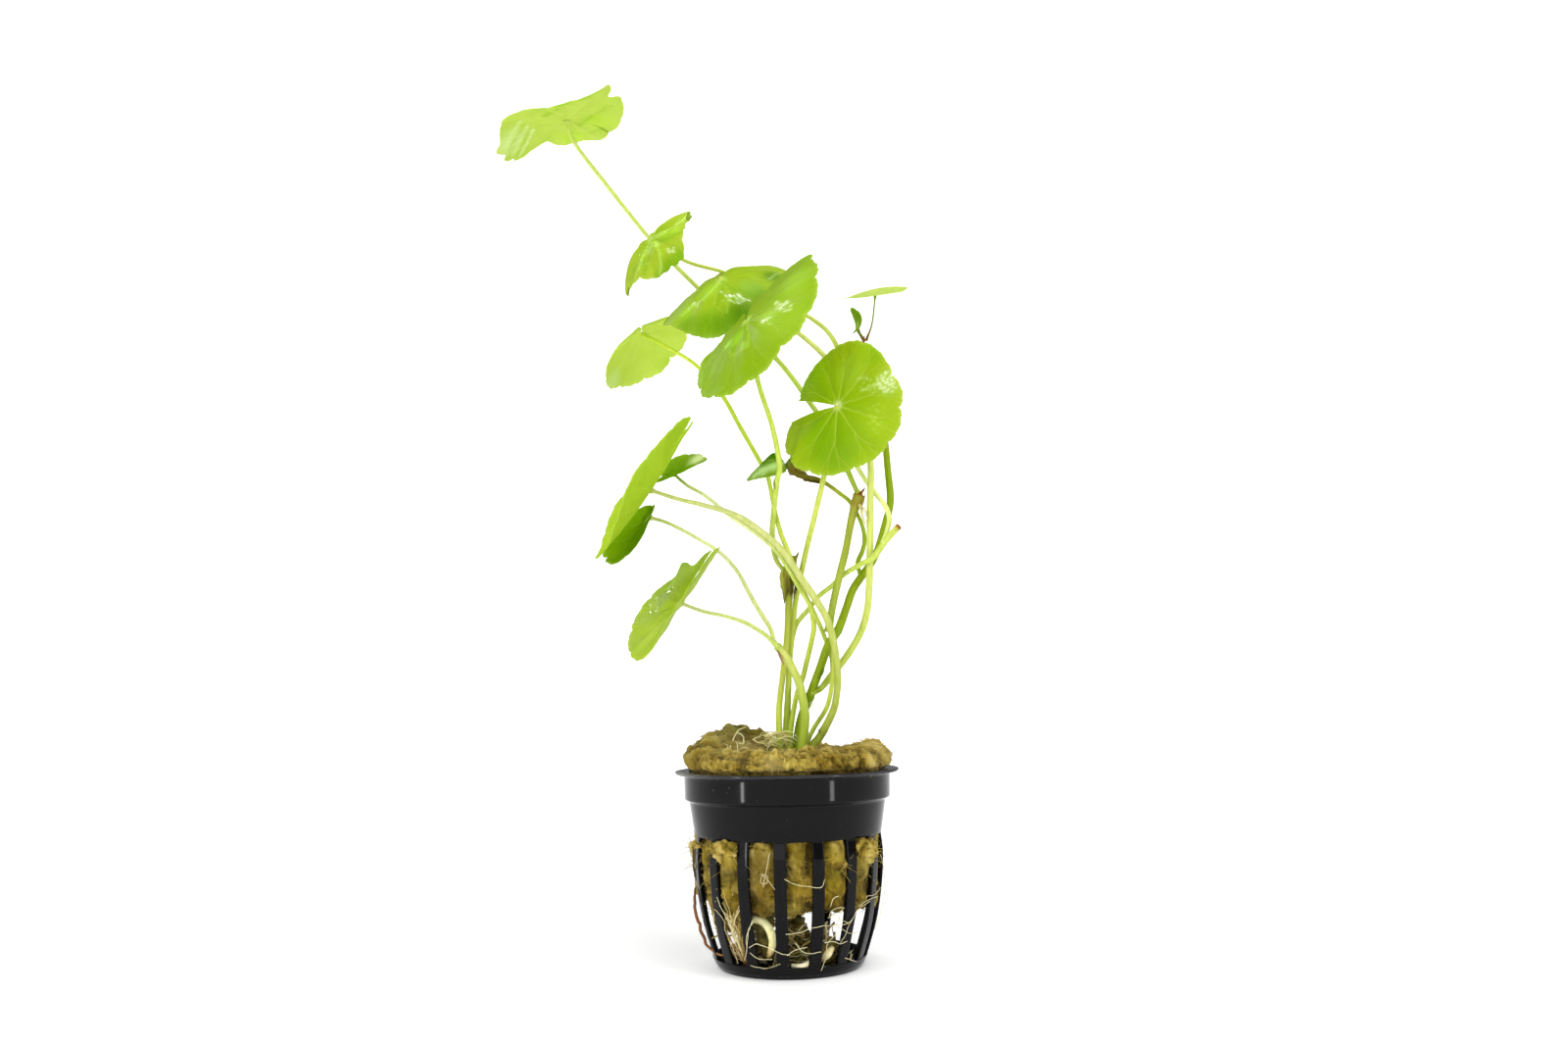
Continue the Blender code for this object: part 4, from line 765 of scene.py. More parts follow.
def sweep(route, sides, swell=1.0):
    """A closed rod along rows of x, y, z and radius: its vertices, faces and share along."""
    points = route[:, :3]
    count = len(points)
    across, other = frames_along(points)
    angles = np.linspace(0, 2 * pi, sides, endpoint=False)[:, None]
    outward = np.cos(angles) * across[:, None] + np.sin(angles) * other[:, None]
    reach = np.repeat(route[:, 3:], sides, axis=1) * swell
    ring = points[:, None] + reach[..., None] * outward
    verts = np.vstack([ring.reshape(-1, 3), points[:1], points[-1:]])
    faces = ring_faces(count, sides)
    first, last = count * sides, count * sides + 1
    for j in range(sides):
        k = (j + 1) % sides
        faces.append((first, k, j))
        faces.append((last, (count - 1) * sides + j, (count - 1) * sides + k))
    share = np.concatenate([np.repeat(np.linspace(0, 1, count), sides), [0.0, 1.0]])
    return verts, faces, share


def rod(mesh, knots, codes, step=0.8, sides=6, wobble=0.0, picker=None):
    """A thin root or fibre through places in space, each row x, y, z and radius."""
    route = smooth_route(knots, step)
    if wobble:
        shift = picker.uniform(0, 90)
        for axis in range(3):
            route[:, axis] += wobble * grain(route[:, :3] + shift + 17 * axis, 0.5, 2)
    route[:, 2] = np.maximum(route[:, 2], route[:, 3] + 0.1)
    verts, faces, share = sweep(route, sides)
    mesh.add(verts, faces, ramp(codes, share))


def uneven(route, sides, amount, picker):
    """A random factor for the radius at each place along and round a route."""
    return 1 + amount * np.array([[picker.uniform(-1, 1) for _ in range(sides)] for _ in route])


# Materials

def node(tree, kind, inputs=(), **settings):
    made = tree.nodes.new(kind)
    for key, value in settings.items():
        setattr(made, key, value)
    for key, value in dict(inputs).items():
        if isinstance(value, bpy.types.NodeSocket):
            tree.links.new(value, made.inputs[key])
        else:
            made.inputs[key].default_value = value
    return made


def maths(tree, operation, *values):
    return node(tree, "ShaderNodeMath", dict(enumerate(values)), operation=operation).outputs[0]


def times(tree, first, second):
    return maths(tree, "MULTIPLY", first, second)


def plus(tree, first, second):
    return maths(tree, "ADD", first, second)


def apart(tree, first, second):
    """How far two values are apart."""
    return maths(tree, "ABSOLUTE", maths(tree, "SUBTRACT", first, second))


def blend(tree, mode, share, first, second):
    return node(tree, "ShaderNodeMix", {"Factor": share, 6: first, 7: second},
                data_type="RGBA", blend_type=mode).outputs[2]


def between(tree, value, low, high, start=0.0, end=1.0):
    """The value, moved smoothly from start to end as it goes from low to high."""
    return node(tree, "ShaderNodeMapRange", {0: value, 1: low, 2: high, 3: start, 4: end},
                interpolation_type="SMOOTHSTEP").outputs[0]


def texture(tree, scale, detail=3.0, stretch=(1, 1, 1), swirl=0.0):
    """Noise over the object's own coordinates; scale is in cycles per millimetre."""
    place = node(tree, "ShaderNodeTexCoord").outputs["Object"]
    size = tuple(scale / MM * s for s in stretch)
    mapped = node(tree, "ShaderNodeMapping", {"Vector": place, "Scale": size}).outputs[0]
    return node(tree, "ShaderNodeTexNoise",
                {"Vector": mapped, "Scale": 1.0, "Detail": detail, "Distortion": swirl}).outputs[0]


def new_material(name, roughness, **sockets):
    made = bpy.data.materials.new(name)
    made.use_nodes = True
    tree = made.node_tree
    shader = tree.nodes["Principled BSDF"]
    shader.inputs["Roughness"].default_value = roughness
    for key, value in sockets.items():
        shader.inputs[key.replace("_", " ")].default_value = value
    return made, tree, shader


def tint_of(tree):
    return node(tree, "ShaderNodeAttribute", attribute_name="tint").outputs["Color"]


def bump(tree, shader, height, distance, strength=1.0, socket="Normal"):
    made = node(tree, "ShaderNodeBump", {"Height": height, "Distance": distance * MM, "Strength": strength})
    tree.links.new(made.outputs[0], shader.inputs[socket])


def leaf_material(name, vein_share, gloss):
    """Colour from the mesh, with forking veins drawn from the place on the blade."""
    made, tree, shader = new_material(
        name, 0.4, Subsurface_Weight=0.12, Subsurface_Scale=0.0005, Subsurface_Radius=(0.6, 1.0, 0.15),
        Specular_IOR_Level=gloss, Coat_Roughness=0.05, Coat_IOR=1.33)
    extra = node(tree, "ShaderNodeAttribute", attribute_name="extra").outputs["Vector"]
    lobes, out, width = node(tree, "ShaderNodeSeparateXYZ", {0: extra}).outputs
    wander = times(tree, maths(tree, "SUBTRACT", texture(tree, 0.22, 2.0), 0.5), 0.34)
    wander = times(tree, wander, between(tree, out, 0.0, 0.5))
    trunk = apart(tree, maths(tree, "FRACT", plus(tree, lobes, wander)), 0.5)
    fork = apart(tree, trunk, between(tree, out, 0.42, 1.05, 0.0, 0.27))
    twig = apart(tree, fork, between(tree, out, 0.66, 1.1, 0.0, 0.13))
    distance = times(tree, twig, times(tree, width, out))
    thick = between(tree, out, 0.0, 0.9, 0.30, 0.10)
    vein = between(tree, maths(tree, "DIVIDE", distance, thick), 0.45, 1.5, 1.0, 0.0)
    place = node(tree, "ShaderNodeTexCoord").outputs["Object"]
    cells = node(tree, "ShaderNodeTexVoronoi", {"Vector": place, "Scale": 0.85 / MM},
                 feature="DISTANCE_TO_EDGE")
    net = between(tree, cells.outputs["Distance"], 0.0, 0.16, 1.0, 0.0)
    tint = node(tree, "ShaderNodeAttribute", attribute_name="tint")
    blotch = between(tree, texture(tree, 0.16, 4.0), 0.35, 0.7, 0.0, 0.3)
    colour = blend(tree, "MULTIPLY", blotch, tint.outputs["Color"], (0.74, 0.86, 0.4, 1))
    pale = blend(tree, "SCREEN", 1.0, colour, (0.17, 0.16, 0.03, 1))
    colour = blend(tree, "MIX", times(tree, net, 0.08), colour, pale)
    colour = blend(tree, "MIX", times(tree, vein, vein_share), colour, pale)
    tree.links.new(colour, shader.inputs["Base Color"])
    wet = times(tree, tint.outputs["Alpha"], between(tree, texture(tree, 0.6), 0.42, 0.54))
    tree.links.new(wet, shader.inputs["Coat Weight"])
    relief = plus(tree, times(tree, vein, -vein_share), times(tree, net, -0.2))
    beads = times(tree, texture(tree, 1.0), plus(tree, times(tree, wet, 1.8), 0.25))
    bump(tree, shader, plus(tree, relief, beads), 0.10, 0.8)
    bump(tree, shader, texture(tree, 0.7), 0.10, 0.45, "Coat Normal")
    return made


def streaky_material(name, roughness, streaks, share, shade, relief, **sockets):
    """Colour from the mesh, darkened in streaks."""
    made, tree, shader = new_material(name, roughness, Subsurface_Weight=0.2, **sockets)
    streak = texture(tree, *streaks)
    colour = blend(tree, "MULTIPLY", between(tree, streak, *share), tint_of(tree), shade)
    tree.links.new(colour, shader.inputs["Base Color"])
    bump(tree, shader, streak, *relief)
    return made


def stalk_material():
    return streaky_material(
        "stalk_tissue", 0.36, (0.9, 3.0, (1.6, 1.6, 0.12)), (0.4, 0.65, 0.0, 0.55), (0.74, 0.84, 0.5, 1),
        (0.08, 0.5), Subsurface_Scale=0.0008, Subsurface_Radius=(0.7, 1.0, 0.2), Specular_IOR_Level=0.1)


def wool_material():
    made, tree, shader = new_material(
        "mineral_wool", 0.95, Specular_IOR_Level=0.02, Sheen_Weight=0.06, Sheen_Roughness=0.6)
    wisps = texture(tree, 0.15, 6.0, (1, 1, 0.5), 0.8)
    hairs = texture(tree, 1.1, 5.0, (1, 1, 0.3), 1.2)
    colour = tint_of(tree)
    for mode, share, tone in (
            ("MULTIPLY", between(tree, wisps, 0.36, 0.6, 0.75, 0.0), (0.66, 0.58, 0.34, 1)),
            ("SCREEN", between(tree, wisps, 0.52, 0.72, 0.0, 0.5), (0.14, 0.12, 0.04, 1)),
            ("MULTIPLY", between(tree, hairs, 0.36, 0.6, 0.35, 0.0), (0.66, 0.60, 0.42, 1))):
        colour = blend(tree, mode, share, colour, tone)
    tree.links.new(colour, shader.inputs["Base Color"])
    bump(tree, shader, plus(tree, hairs, times(tree, wisps, 3.0)), 0.35, 0.7)
    return made


def root_material():
    return streaky_material(
        "root_tissue", 0.6, (1.2, 4.0), (0.5, 0.7, 0.0, 0.6), (0.7, 0.58, 0.38, 1),
        (0.1, 0.6), Subsurface_Scale=0.0005, Specular_IOR_Level=0.3)


def plastic_material():
    made, tree, shader = new_material("black_polypropylene", 0.2, Specular_IOR_Level=0.14)
    cloud = texture(tree, 0.09, 4.0)
    specks = between(tree, texture(tree, 2.4, 2.0), 0.73, 0.78)
    dust = times(tree, specks, between(tree, cloud, 0.45, 0.65))
    worn = between(tree, cloud, 0.35, 0.7, 0.0, 0.5)
    colour = blend(tree, "MIX", worn, tint_of(tree), (*linear(WORN_BLACK), 1))
    colour = blend(tree, "MIX", dust, colour, (*linear(DUST), 1))
    tree.links.new(colour, shader.inputs["Base Color"])
    tree.links.new(between(tree, cloud, 0.3, 0.7, 0.05, 0.12), shader.inputs["Roughness"])
    bump(tree, shader, texture(tree, 0.8), 0.03, 0.15)
    return made


# Pot

def around(angle, radius, height):
    """Places about the pot's axis, at angles that run from the front to the right."""
    return np.array([radius * np.sin(angle), -radius * np.cos(angle), height + 0 * angle])


def turned(mesh, profile, steps, tint):
    """A closed (radius, height) profile turned about the axis, with one tint or one a row."""
    angles = np.linspace(0, 2 * pi, steps, endpoint=False)
    rows = np.array([around(angles, radius, height).T for radius, height in profile])
    faces = ring_faces(len(profile), steps, turned_over=True, closed=True)
    tints = np.repeat(np.broadcast_to(tint, (len(profile), 3)), steps, axis=0)
    mesh.add(rows.reshape(-1, 3), faces, tints)


def rounded(profile, radius, steps=3):
    """A closed profile with each corner rounded off."""
    made = []
    points = [np.array(p, dtype=float) for p in profile]
    for before, corner, after in zip(points[-1:] + points[:-1], points, points[1:] + points[:1]):
        start = before - corner
        end = after - corner
        cut_length = min(radius, 0.4 * np.linalg.norm(start), 0.4 * np.linalg.norm(end))
        start = corner + start / np.linalg.norm(start) * cut_length
        end = corner + end / np.linalg.norm(end) * cut_length
        for i in range(steps + 1):
            t = i / steps
            made.append(tuple((1 - t) ** 2 * start + 2 * t * (1 - t) * corner + t ** 2 * end))
    return made


def finer(profile, gap):
    """A closed profile with points along its long sides, so that they shade flat."""
    made = []
    for (x0, y0), (x1, y1) in zip(profile, profile[1:] + profile[:1]):
        count = max(1, round(float(np.hypot(x1 - x0, y1 - y0)) / gap))
        made += [(x0 + (x1 - x0) * i / count, y0 + (y1 - y0) * i / count) for i in range(count)]
    return made


def tube(mesh, rows, tint, turned_over=False):
    """A tube through rings of places, closed at both ends."""
    count, sides = rows.shape[:2]
    faces = ring_faces(count, sides, turned_over)
    first = tuple(range(sides))
    last = tuple((count - 1) * sides + j for j in first)
    faces += [first, last[::-1]] if turned_over else [first[::-1], last]
    mesh.add(rows.reshape(-1, 3), faces, tint)


def bar(mesh, angle, tint):
    """One upright bar of the pot, with rounded edges, bedded in the ring at either end."""
    spine = smooth_profile([(SLOT_RADIUS, SLOT_TOP + 1.5), *POT_SIDE, (17.5, 0.8)], 0.9)
    half = BAR_WIDTH / 2
    corners = [(-half, 0), (half, 0), (half - 0.15, -WALL), (-half + 0.15, -WALL)]
    section = finer(rounded(corners, 0.3), 0.5)
    rows = np.array([[(across, -(radius + deep), height) for across, deep in section]
                     for radius, height in spine])
    turn = np.array([[cos(angle), -sin(angle), 0], [sin(angle), cos(angle), 0], [0, 0, 1]])
    tube(mesh, rows @ turn.T, tint)


def spoke(mesh, angle, tint):
    """The part of the floor between two slots."""
    inner, outer, width = FLOOR_SLOT
    rows = []
    for radius in np.linspace(inner - 0.6, outer + 0.6, 10):
        spread = pi / FLOOR_SLOTS - np.arcsin(min(0.99, width / 2 / radius))
        arc = np.linspace(-spread, spread, 8) + angle
        rows.append(np.vstack([around(arc, radius, FLOOR_TOP).T, around(arc, radius, 0.0).T[::-1]]))
    tube(mesh, np.array(rows), tint, turned_over=True)


def net_pot(finish):
    mesh = Mesh()
    tint = linear(BLACK)
    shell = finer(rounded(POT_SHELL, 0.35), 0.6)[::-1]
    # The lip is painted grey: painted glow of light through the thin plastic
    turned(mesh, shell, POT_STEPS, [linear(LIP) if radius > LIP_FROM else tint for radius, _ in shell])
    spots = mesh.verts[-1]
    # Its left end is painted paler still: painted glow of back light through the thin plastic
    thin = np.exp(-((np.arctan2(spots[:, 1], -spots[:, 0]) + 0.2) / 0.4) ** 2)
    thin = 0.75 * thin * (np.hypot(spots[:, 0], spots[:, 1]) > LIP_FROM)
    mesh.tints[-1] = painted(mesh.tints[-1], LIP_GLOW, thin[:, None])
    turned(mesh, rounded(POT_FOOT, 0.3)[::-1], POT_STEPS, tint)
    for i in range(BAR_COUNT):
        bar(mesh, FIRST_BAR + 2 * pi * i / BAR_COUNT, tint)
    for start, end in ((0.01, FLOOR_SLOT[0]), (FLOOR_SLOT[1], 15.6)):
        plate = [(start, 0.0), (start, FLOOR_TOP), (end, FLOOR_TOP), (end, 0.0)]
        turned(mesh, rounded(plate, 0.15, 2), POT_STEPS // 2, tint)
    for i in range(FLOOR_SLOTS):
        spoke(mesh, 2 * pi * (i + 0.5) / FLOOR_SLOTS, tint)
    mesh.make("net_pot_moulding", finish, "black_plastic", "net_pot")


# Wool

def closeness(points, spot, reach):
    """How near each point is to a spot: 1 to 0."""
    return np.exp(-(np.linalg.norm(points - spot, axis=1) / reach) ** 2)


def plug_skin():
    """Places on the plug's outline turned about the axis, and their outward normals."""
    profile = smooth_profile(PLUG_OUTLINE, 0.42)
    slopes = np.gradient(profile, axis=0)
    slopes /= np.linalg.norm(slopes, axis=1)[:, None]
    angles = np.linspace(0, 2 * pi, PLUG_STEPS, endpoint=False)
    points = np.vstack([around(angles, radius, height).T for radius, height in profile])
    return points, np.vstack([around(angles, -dz, dr).T for dr, dz in slopes])


def wool_plug(finish):
    """The plug: a turned shape with lumps, pits and a frayed lower edge. Gives back its skin."""
    points, normals = plug_skin()
    height = points[:, 2]
    radius = np.hypot(points[:, 0], points[:, 1])
    angle = np.arctan2(points[:, 0], -points[:, 1])
    top = np.clip((height - RIM_TOP) / 1.5, 0, 1)
    hidden = np.clip((height - SLOT_TOP) / 2, 0, 1) * (1 - top)
    side = (1 - top) * (1 - hidden) * np.clip((radius - 15) / 4, 0, 1)
    gap = 0.5 - 0.5 * np.cos((angle - FIRST_BAR) * BAR_COUNT)

    lumps = grain(points, 0.13, 2)
    clumps = grain((points + 31.0) * (1, 1, 0.8), 0.26)
    strands = grain((points + 53.0) * (1, 1, 0.25), 0.9)
    fuzz = grain(points + 77.0, 1.6)
    creases = np.exp(-(grain((points + 11.0) * (1, 1, 1.7), 0.14, 2) / 0.05) ** 2)
    flakes = np.tanh(6 * grain((points + 67.0) * (1, 1, 0.9), 0.2))
    tufts = grain(points + 91.0, 0.5)
    lift = 1.0 * lumps + (0.8 - 0.3 * top) * clumps + 0.3 * strands + (0.2 + 0.15 * top) * fuzz
    lift += (0.45 - 0.2 * top) * flakes + 0.35 * tufts - (0.8 - 0.2 * top) * creases
    lift *= 1 - 0.8 * hidden
    lift += side * (0.9 * gap - 0.1)
    places = [(seen_at(*stain[:3]), *stain[3:]) for stain in STAINS]
    places += [(seen_at(across, down, wall_depth(across, down) + 1.5), *look)
               for across, down, *look in FOLDS]
    for spot, reach, _, _, swelling in places:
        lift += swelling * closeness(points, spot, reach)

    moved = points + normals * lift[:, None]
    rise = np.zeros(len(points))
    for x, y, width, amount in PLUG_BUMPS:
        rise += amount * np.exp(-((points[:, 0] - x) ** 2 + (points[:, 1] - y) ** 2) / (2 * width ** 2))
    rise += 1.1 * grain(points * (1, 1, 0), 0.25)
    moved[:, 2] += top * rise
    low = np.clip((PLUG_BOTTOM + 3 - height) / 3, 0, 1)
    moved[:, 2] += low * (2.4 * grain(points * (1, 1, 0) + 5.0, 0.2) + 0.6)
    hanging = np.exp(-((points[:, 0] + 14) / 4.5) ** 2 - ((points[:, 1] + 12) / 5) ** 2)
    moved[:, 2] -= low * 5.0 * hanging
    limit = np.where(height < SLOT_TOP - 0.5, WOOL_BEHIND_BARS + 1.3 * gap, WOOL_IN_COLLAR)
    limit = np.where(height > RIM_TOP - 0.3, WOOL_OVER_RIM, limit)
    wall = np.hypot(moved[:, 0], moved[:, 1])
    moved[:, :2] *= np.minimum(1.0, limit / np.maximum(wall, 0.01))[:, None]

    # The wool is painted paler on its lumps and darker in its creases: painted light and shade that follow
    # its relief, along with its own uneven tone
    shade = 0.45 + 0.4 * clumps + 0.4 * fuzz + 0.3 * lumps + 0.25 * strands + 0.14 * flakes
    tints = ramp(WOOL_TONES, np.clip(shade + 0.35 * tufts - 0.4 * creases, 0, 1))
    inside = np.clip(1 - radius / 19, 0, 1) * top
    tints = painted(tints, WOOL_GREY, 0.5 * inside[:, None])
    under = np.clip((SLOT_TOP - height) / 20, 0, 1) * (1 - top)
    tints = tints * (1 - 0.3 * side[:, None]) * (1 - 0.15 * under[:, None])
    # The stains, and on the folds and gaps behind the bars painted light and painted shade
    for spot, reach, code, strength, _ in places:
        tints = painted(tints, code, strength * closeness(moved, spot, reach)[:, None])
    mesh = Mesh()
    mesh.add(moved, ring_faces(len(moved) // PLUG_STEPS, PLUG_STEPS, turned_over=True), tints)
    mesh.make("wool_plug", finish, "wool", "rockwool_plug")
    return moved, normals, tints, top, side


def wool_fibres(finish, moved, normals, tints, top, side, picker):
    """Loose fibres that stand out of the plug's skin, as thin three-sided rods."""
    mesh = Mesh()
    weights = (top + 0.8 * side) ** 2
    candidates = [i for i in range(0, len(moved), 3) if weights[i] > 0.2]
    t = np.linspace(0, 1, 4)[:, None]
    for start in picker.sample(candidates, FIBRES):
        normal = normals[start]
        base = moved[start] - normal * 0.25
        lean = np.array([picker.gauss(0, 1) for _ in range(3)])
        lean -= normal * lean.dot(normal)
        lean /= np.linalg.norm(lean)
        length = picker.uniform(1.0, 3.6)
        high = picker.uniform(0.1, 0.5) if picker.random() < 0.9 else picker.uniform(0.6, 1.3)
        middle = base + lean * length * 0.5 + normal * high
        end = base + lean * length + normal * high * picker.uniform(-0.2, 1.1)
        points = (1 - t) ** 2 * base + 2 * t * (1 - t) * middle + t ** 2 * end
        route = np.hstack([points, np.full((4, 1), picker.uniform(0.035, 0.07))])
        verts, faces, _ = sweep(route, 3)
        mesh.add(verts, faces, tints[start] * picker.uniform(0.7, 1.5) + 0.03)
    mesh.make("wool_fibres", finish, "wool")


def wool_tufts(finish, picker):
    mesh = Mesh()
    for places in TUFTS:
        knots = [(across, down, wall_depth(across, down) + deep, radius)
                 for across, down, deep, radius in places]
        route = smooth_route(drawn(knots), 0.3)
        verts, faces, _ = sweep(route, 18)
        middle = np.vstack([np.repeat(route[:, :3], 18, axis=0), route[:1, :3], route[-1:, :3]])
        rough = 1 + 0.9 * grain(verts, 0.5, 4) + 0.5 * grain(verts + 40.0, 1.4, 2)
        verts = middle + (verts - middle) * rough[:, None]
        shade = np.clip(0.65 + 0.9 * grain(verts + 9.0, 0.4), 0, 1)
        mesh.add(verts, faces, ramp(WOOL_TONES, shade))
        for _ in range(TUFT_HAIRS):
            spot = route[picker.randrange(len(route)), :3]
            lean = np.array([picker.gauss(0, 1), picker.gauss(-0.3, 0.7), picker.gauss(0, 1)])
            lean *= picker.uniform(0.8, 2.4)
            tip = spot + lean + (0, 0, picker.uniform(-0.6, 0.2))
            tone = picker.choice((WOOL_CREAM, WOOL_LIGHT, "#a08c38"))
            rod(mesh, [(*spot, 0.06), (*(spot + lean * 0.5), 0.05), (*tip, 0.03)], [tone], 0.5, 3)
    mesh.make("wool_tufts", finish, "wool")


# Stems and stalks

def stalk_mesh(name, picker):
    """One stalk, swollen at its joints, at a fork and under its leaf."""
    knots = STEMS[name]
    rows = drawn(knots)
    first, second = np.array(rows[0]), np.array(rows[1])
    if name in FROM_WOOL:
        rows.insert(0, (first[0], first[1], first[2] - 5.0, first[3] * 0.95))
    else:
        back = (first[:3] - second[:3]) / np.linalg.norm(first[:3] - second[:3])
        rows.insert(0, (*(first[:3] + back * 0.9), first[3] * 0.9))
    route = smooth_route(rows, 0.9)
    steps = np.linalg.norm(np.diff(route[:, :3], axis=0), axis=1)
    along = np.concatenate([[0], np.cumsum(steps)])
    left = along[-1] - along
    route[:, 3] *= STALK_SWELL + 0.05 * grain(route[:, :3], 0.35, 2)
    if name.startswith("petiole"):
        route[:, 3] *= 1 + 0.9 * np.exp(-(left / 0.7) ** 2)
    if name not in FROM_WOOL:
        route[:, 3] *= 1 + 0.55 * np.exp(-(along / 1.6) ** 2)
    joints = []
    for across, down, swelling, code in JOINTS.get(name, ()):
        spot = seen_at(across, down, knots[len(knots) // 2][2])
        place = along[np.argmin(np.hypot(route[:, 0] - spot[0], route[:, 2] - spot[2]))]
        route[:, 3] *= 1 + swelling * np.exp(-((along - place) / 0.7) ** 2)
        joints.append((place, code))
    sides = 14 if route[:, 3].max() > 0.7 else 10
    angles = np.linspace(0, 2 * pi, sides, endpoint=False)
    swell = 1 + 0.04 * np.cos(angles * 5 + picker.uniform(0, 6))
    verts, faces, share = sweep(route, sides, swell)
    tints = ramp(STALK_TINTS.get(name, PALE_STALK), share)
    for place, code in joints:
        near = np.exp(-((share * along[-1] - place) / 0.7) ** 2)
        tints = painted(tints, code, 0.85 * near[:, None])
    return verts, faces, tints


def stalks(finish, picker):
    for name in STEMS:
        mesh = Mesh()
        mesh.add(*stalk_mesh(name, picker))
        for colours, *places in DRY_BITS.get(name, ()):
            route = smooth_route(drawn(places), 0.5)
            verts, faces, share = sweep(route, 7, uneven(route, 7, 0.22, picker))
            mesh.add(verts, faces, ramp(colours, share))
        mesh.make(name + "_tissue", finish, "stalk", name)


# Leaves

def blade_axes(leaf):
    """The leaf's upward normal, the way its tip points, and the way to the tip's left."""
    facing, tilt, turn = (radians(leaf[key]) for key in ("facing", "tilt", "turn"))
    normal = np.array([cos(tilt) * sin(facing), -cos(tilt) * cos(facing), sin(tilt)])
    uphill = UP - normal * normal[2]
    uphill /= np.linalg.norm(uphill)
    tip = uphill * cos(turn) + np.cross(normal, uphill) * sin(turn)
    return normal, tip, np.cross(normal, tip)


def blade_surface(leaf, share, round_share):
    """Places on the blade's middle surface, for arrays of share out and share round."""
    normal, tip, left = blade_axes(leaf)
    angle = (pi - radians(leaf.get("sinus", SINUS))) * (2 * round_share - 1)
    along, aside, oval, oval_turn = leaf["shape"]
    lobe = round_share * leaf["lobes"]
    seed = leaf["radius"] * 7.3
    teeth = leaf.get("teeth", 1.0)
    wander = 0.22 * np.sin(lobe * 1.7 + seed) + 0.15 * np.sin(lobe * 3.1 + seed * 2)
    depth = 0.045 + 0.02 * np.sin(lobe * 1.3 + seed * 3)
    scallop = 1 - teeth * depth * (1 - np.abs(np.sin((lobe + 0.3 * wander) * pi)) ** 0.6)
    scallop -= 0.020 * teeth * (1 - np.abs(np.sin((3 * lobe + wander) * pi)) ** 0.7)
    scallop -= 0.010 * (1 - np.abs(np.sin((7 * lobe + 2.3 * wander) * pi)))
    scallop += 0.012 * np.sin(lobe * 2.3 + seed)
    for place, width, amount in leaf.get("bulges", ()):
        scallop = scallop * (1 + amount * np.exp(-((lobe - place) / width) ** 2))
    scallop = 1 + (scallop - 1) * np.clip(share * 1.6 - 0.5, 0, 1)
    out = share * scallop * (1 + along * np.cos(angle) + aside * np.sin(angle)
                             + oval * np.cos(2 * (angle - radians(oval_turn))))
    fold, fold_turn = leaf["saddle"]
    ripple, waves, phase = leaf.get("ripple", (0, 3, 0))
    lift = out ** 2 * (leaf["cup"] + fold * np.cos(2 * (angle - radians(fold_turn))))
    lift += out ** 3 * ripple * np.cos(waves * angle + radians(phase))
    for place, width, start, amount in leaf.get("bends", ()):
        curl = np.clip((share - start) / (1 - start), 0, 1) ** 2
        lift += amount * np.exp(-((lobe - place) / width) ** 2) * curl
    puff = np.abs((lobe % 1) - 0.5) * 2
    lift += leaf.get("puff", 0.02) * puff ** 0.8 * np.sin(np.clip(share, 0, 1) * pi * 0.85)
    lift += 0.012 * np.sin(lobe * pi + seed) * share ** 4 + 0.02 * (round_share - 0.5) * share
    radius = leaf["radius"]
    flat_x, flat_y = out * np.cos(angle), out * np.sin(angle)
    return (seen_at(*leaf["at"]) + radius * (flat_x[..., None] * tip + flat_y[..., None] * left
                                             + lift[..., None] * normal))


def nearness(middle, across, down, reach):
    """How near each place of a blade is to its foremost spot at a place of the picture: 1 to 0."""
    points = middle.reshape(-1, 3)
    spots = picture_spots(points)
    off = np.hypot(spots[0] - across, spots[1] - down) + 0.2 * points[:, 1]
    return np.exp(-(np.linalg.norm(middle - points[np.argmin(off)], axis=2) / reach) ** 3)


def dotted(line, gap=2.5):
    """Places along a drawn line."""
    for (x0, y0), (x1, y1) in zip(line, line[1:]):
        count = max(1, round(float(np.hypot(x1 - x0, y1 - y0)) / gap))
        for i in range(count + 1):
            yield x0 + (x1 - x0) * i / count, y0 + (y1 - y0) * i / count


def leaf_paint(name, middle):
    """What is painted on a blade: (amount at each place, colour, whether the underside has it)."""
    # Patches of the leaves' own tone, with painted shade, painted highlights and painted glow
    for across, down, reach, code, strength in LEAF_TONES_AND_PAINTED_LIGHT.get(name, ()):
        yield strength * nearness(middle, across, down, reach), code, True
    # Ridges and creases with painted light and shade, and painted glints
    for line, reach, code, strength in LEAF_CREASE_LIGHT_SHADE_GLINTS.get(name, ()):
        near = [nearness(middle, across, down, reach) for across, down in dotted(line)]
        yield strength * np.max(near, axis=0), code, True
    # Painted glints, as pale flecks on the upper side
    for across, down, wide, high, count, code, strength in LEAF_PAINTED_GLINTS.get(name, ()):
        for i in range(count):
            out = ((i + 0.5) / count) ** 0.5
            turn = i * GOLDEN_TURN
            near = nearness(middle, across + wide * out * np.cos(turn), down + high * out * np.sin(turn),
                            FLECK_REACH)
            yield strength * (1 - 0.5 * out) * near, code, False


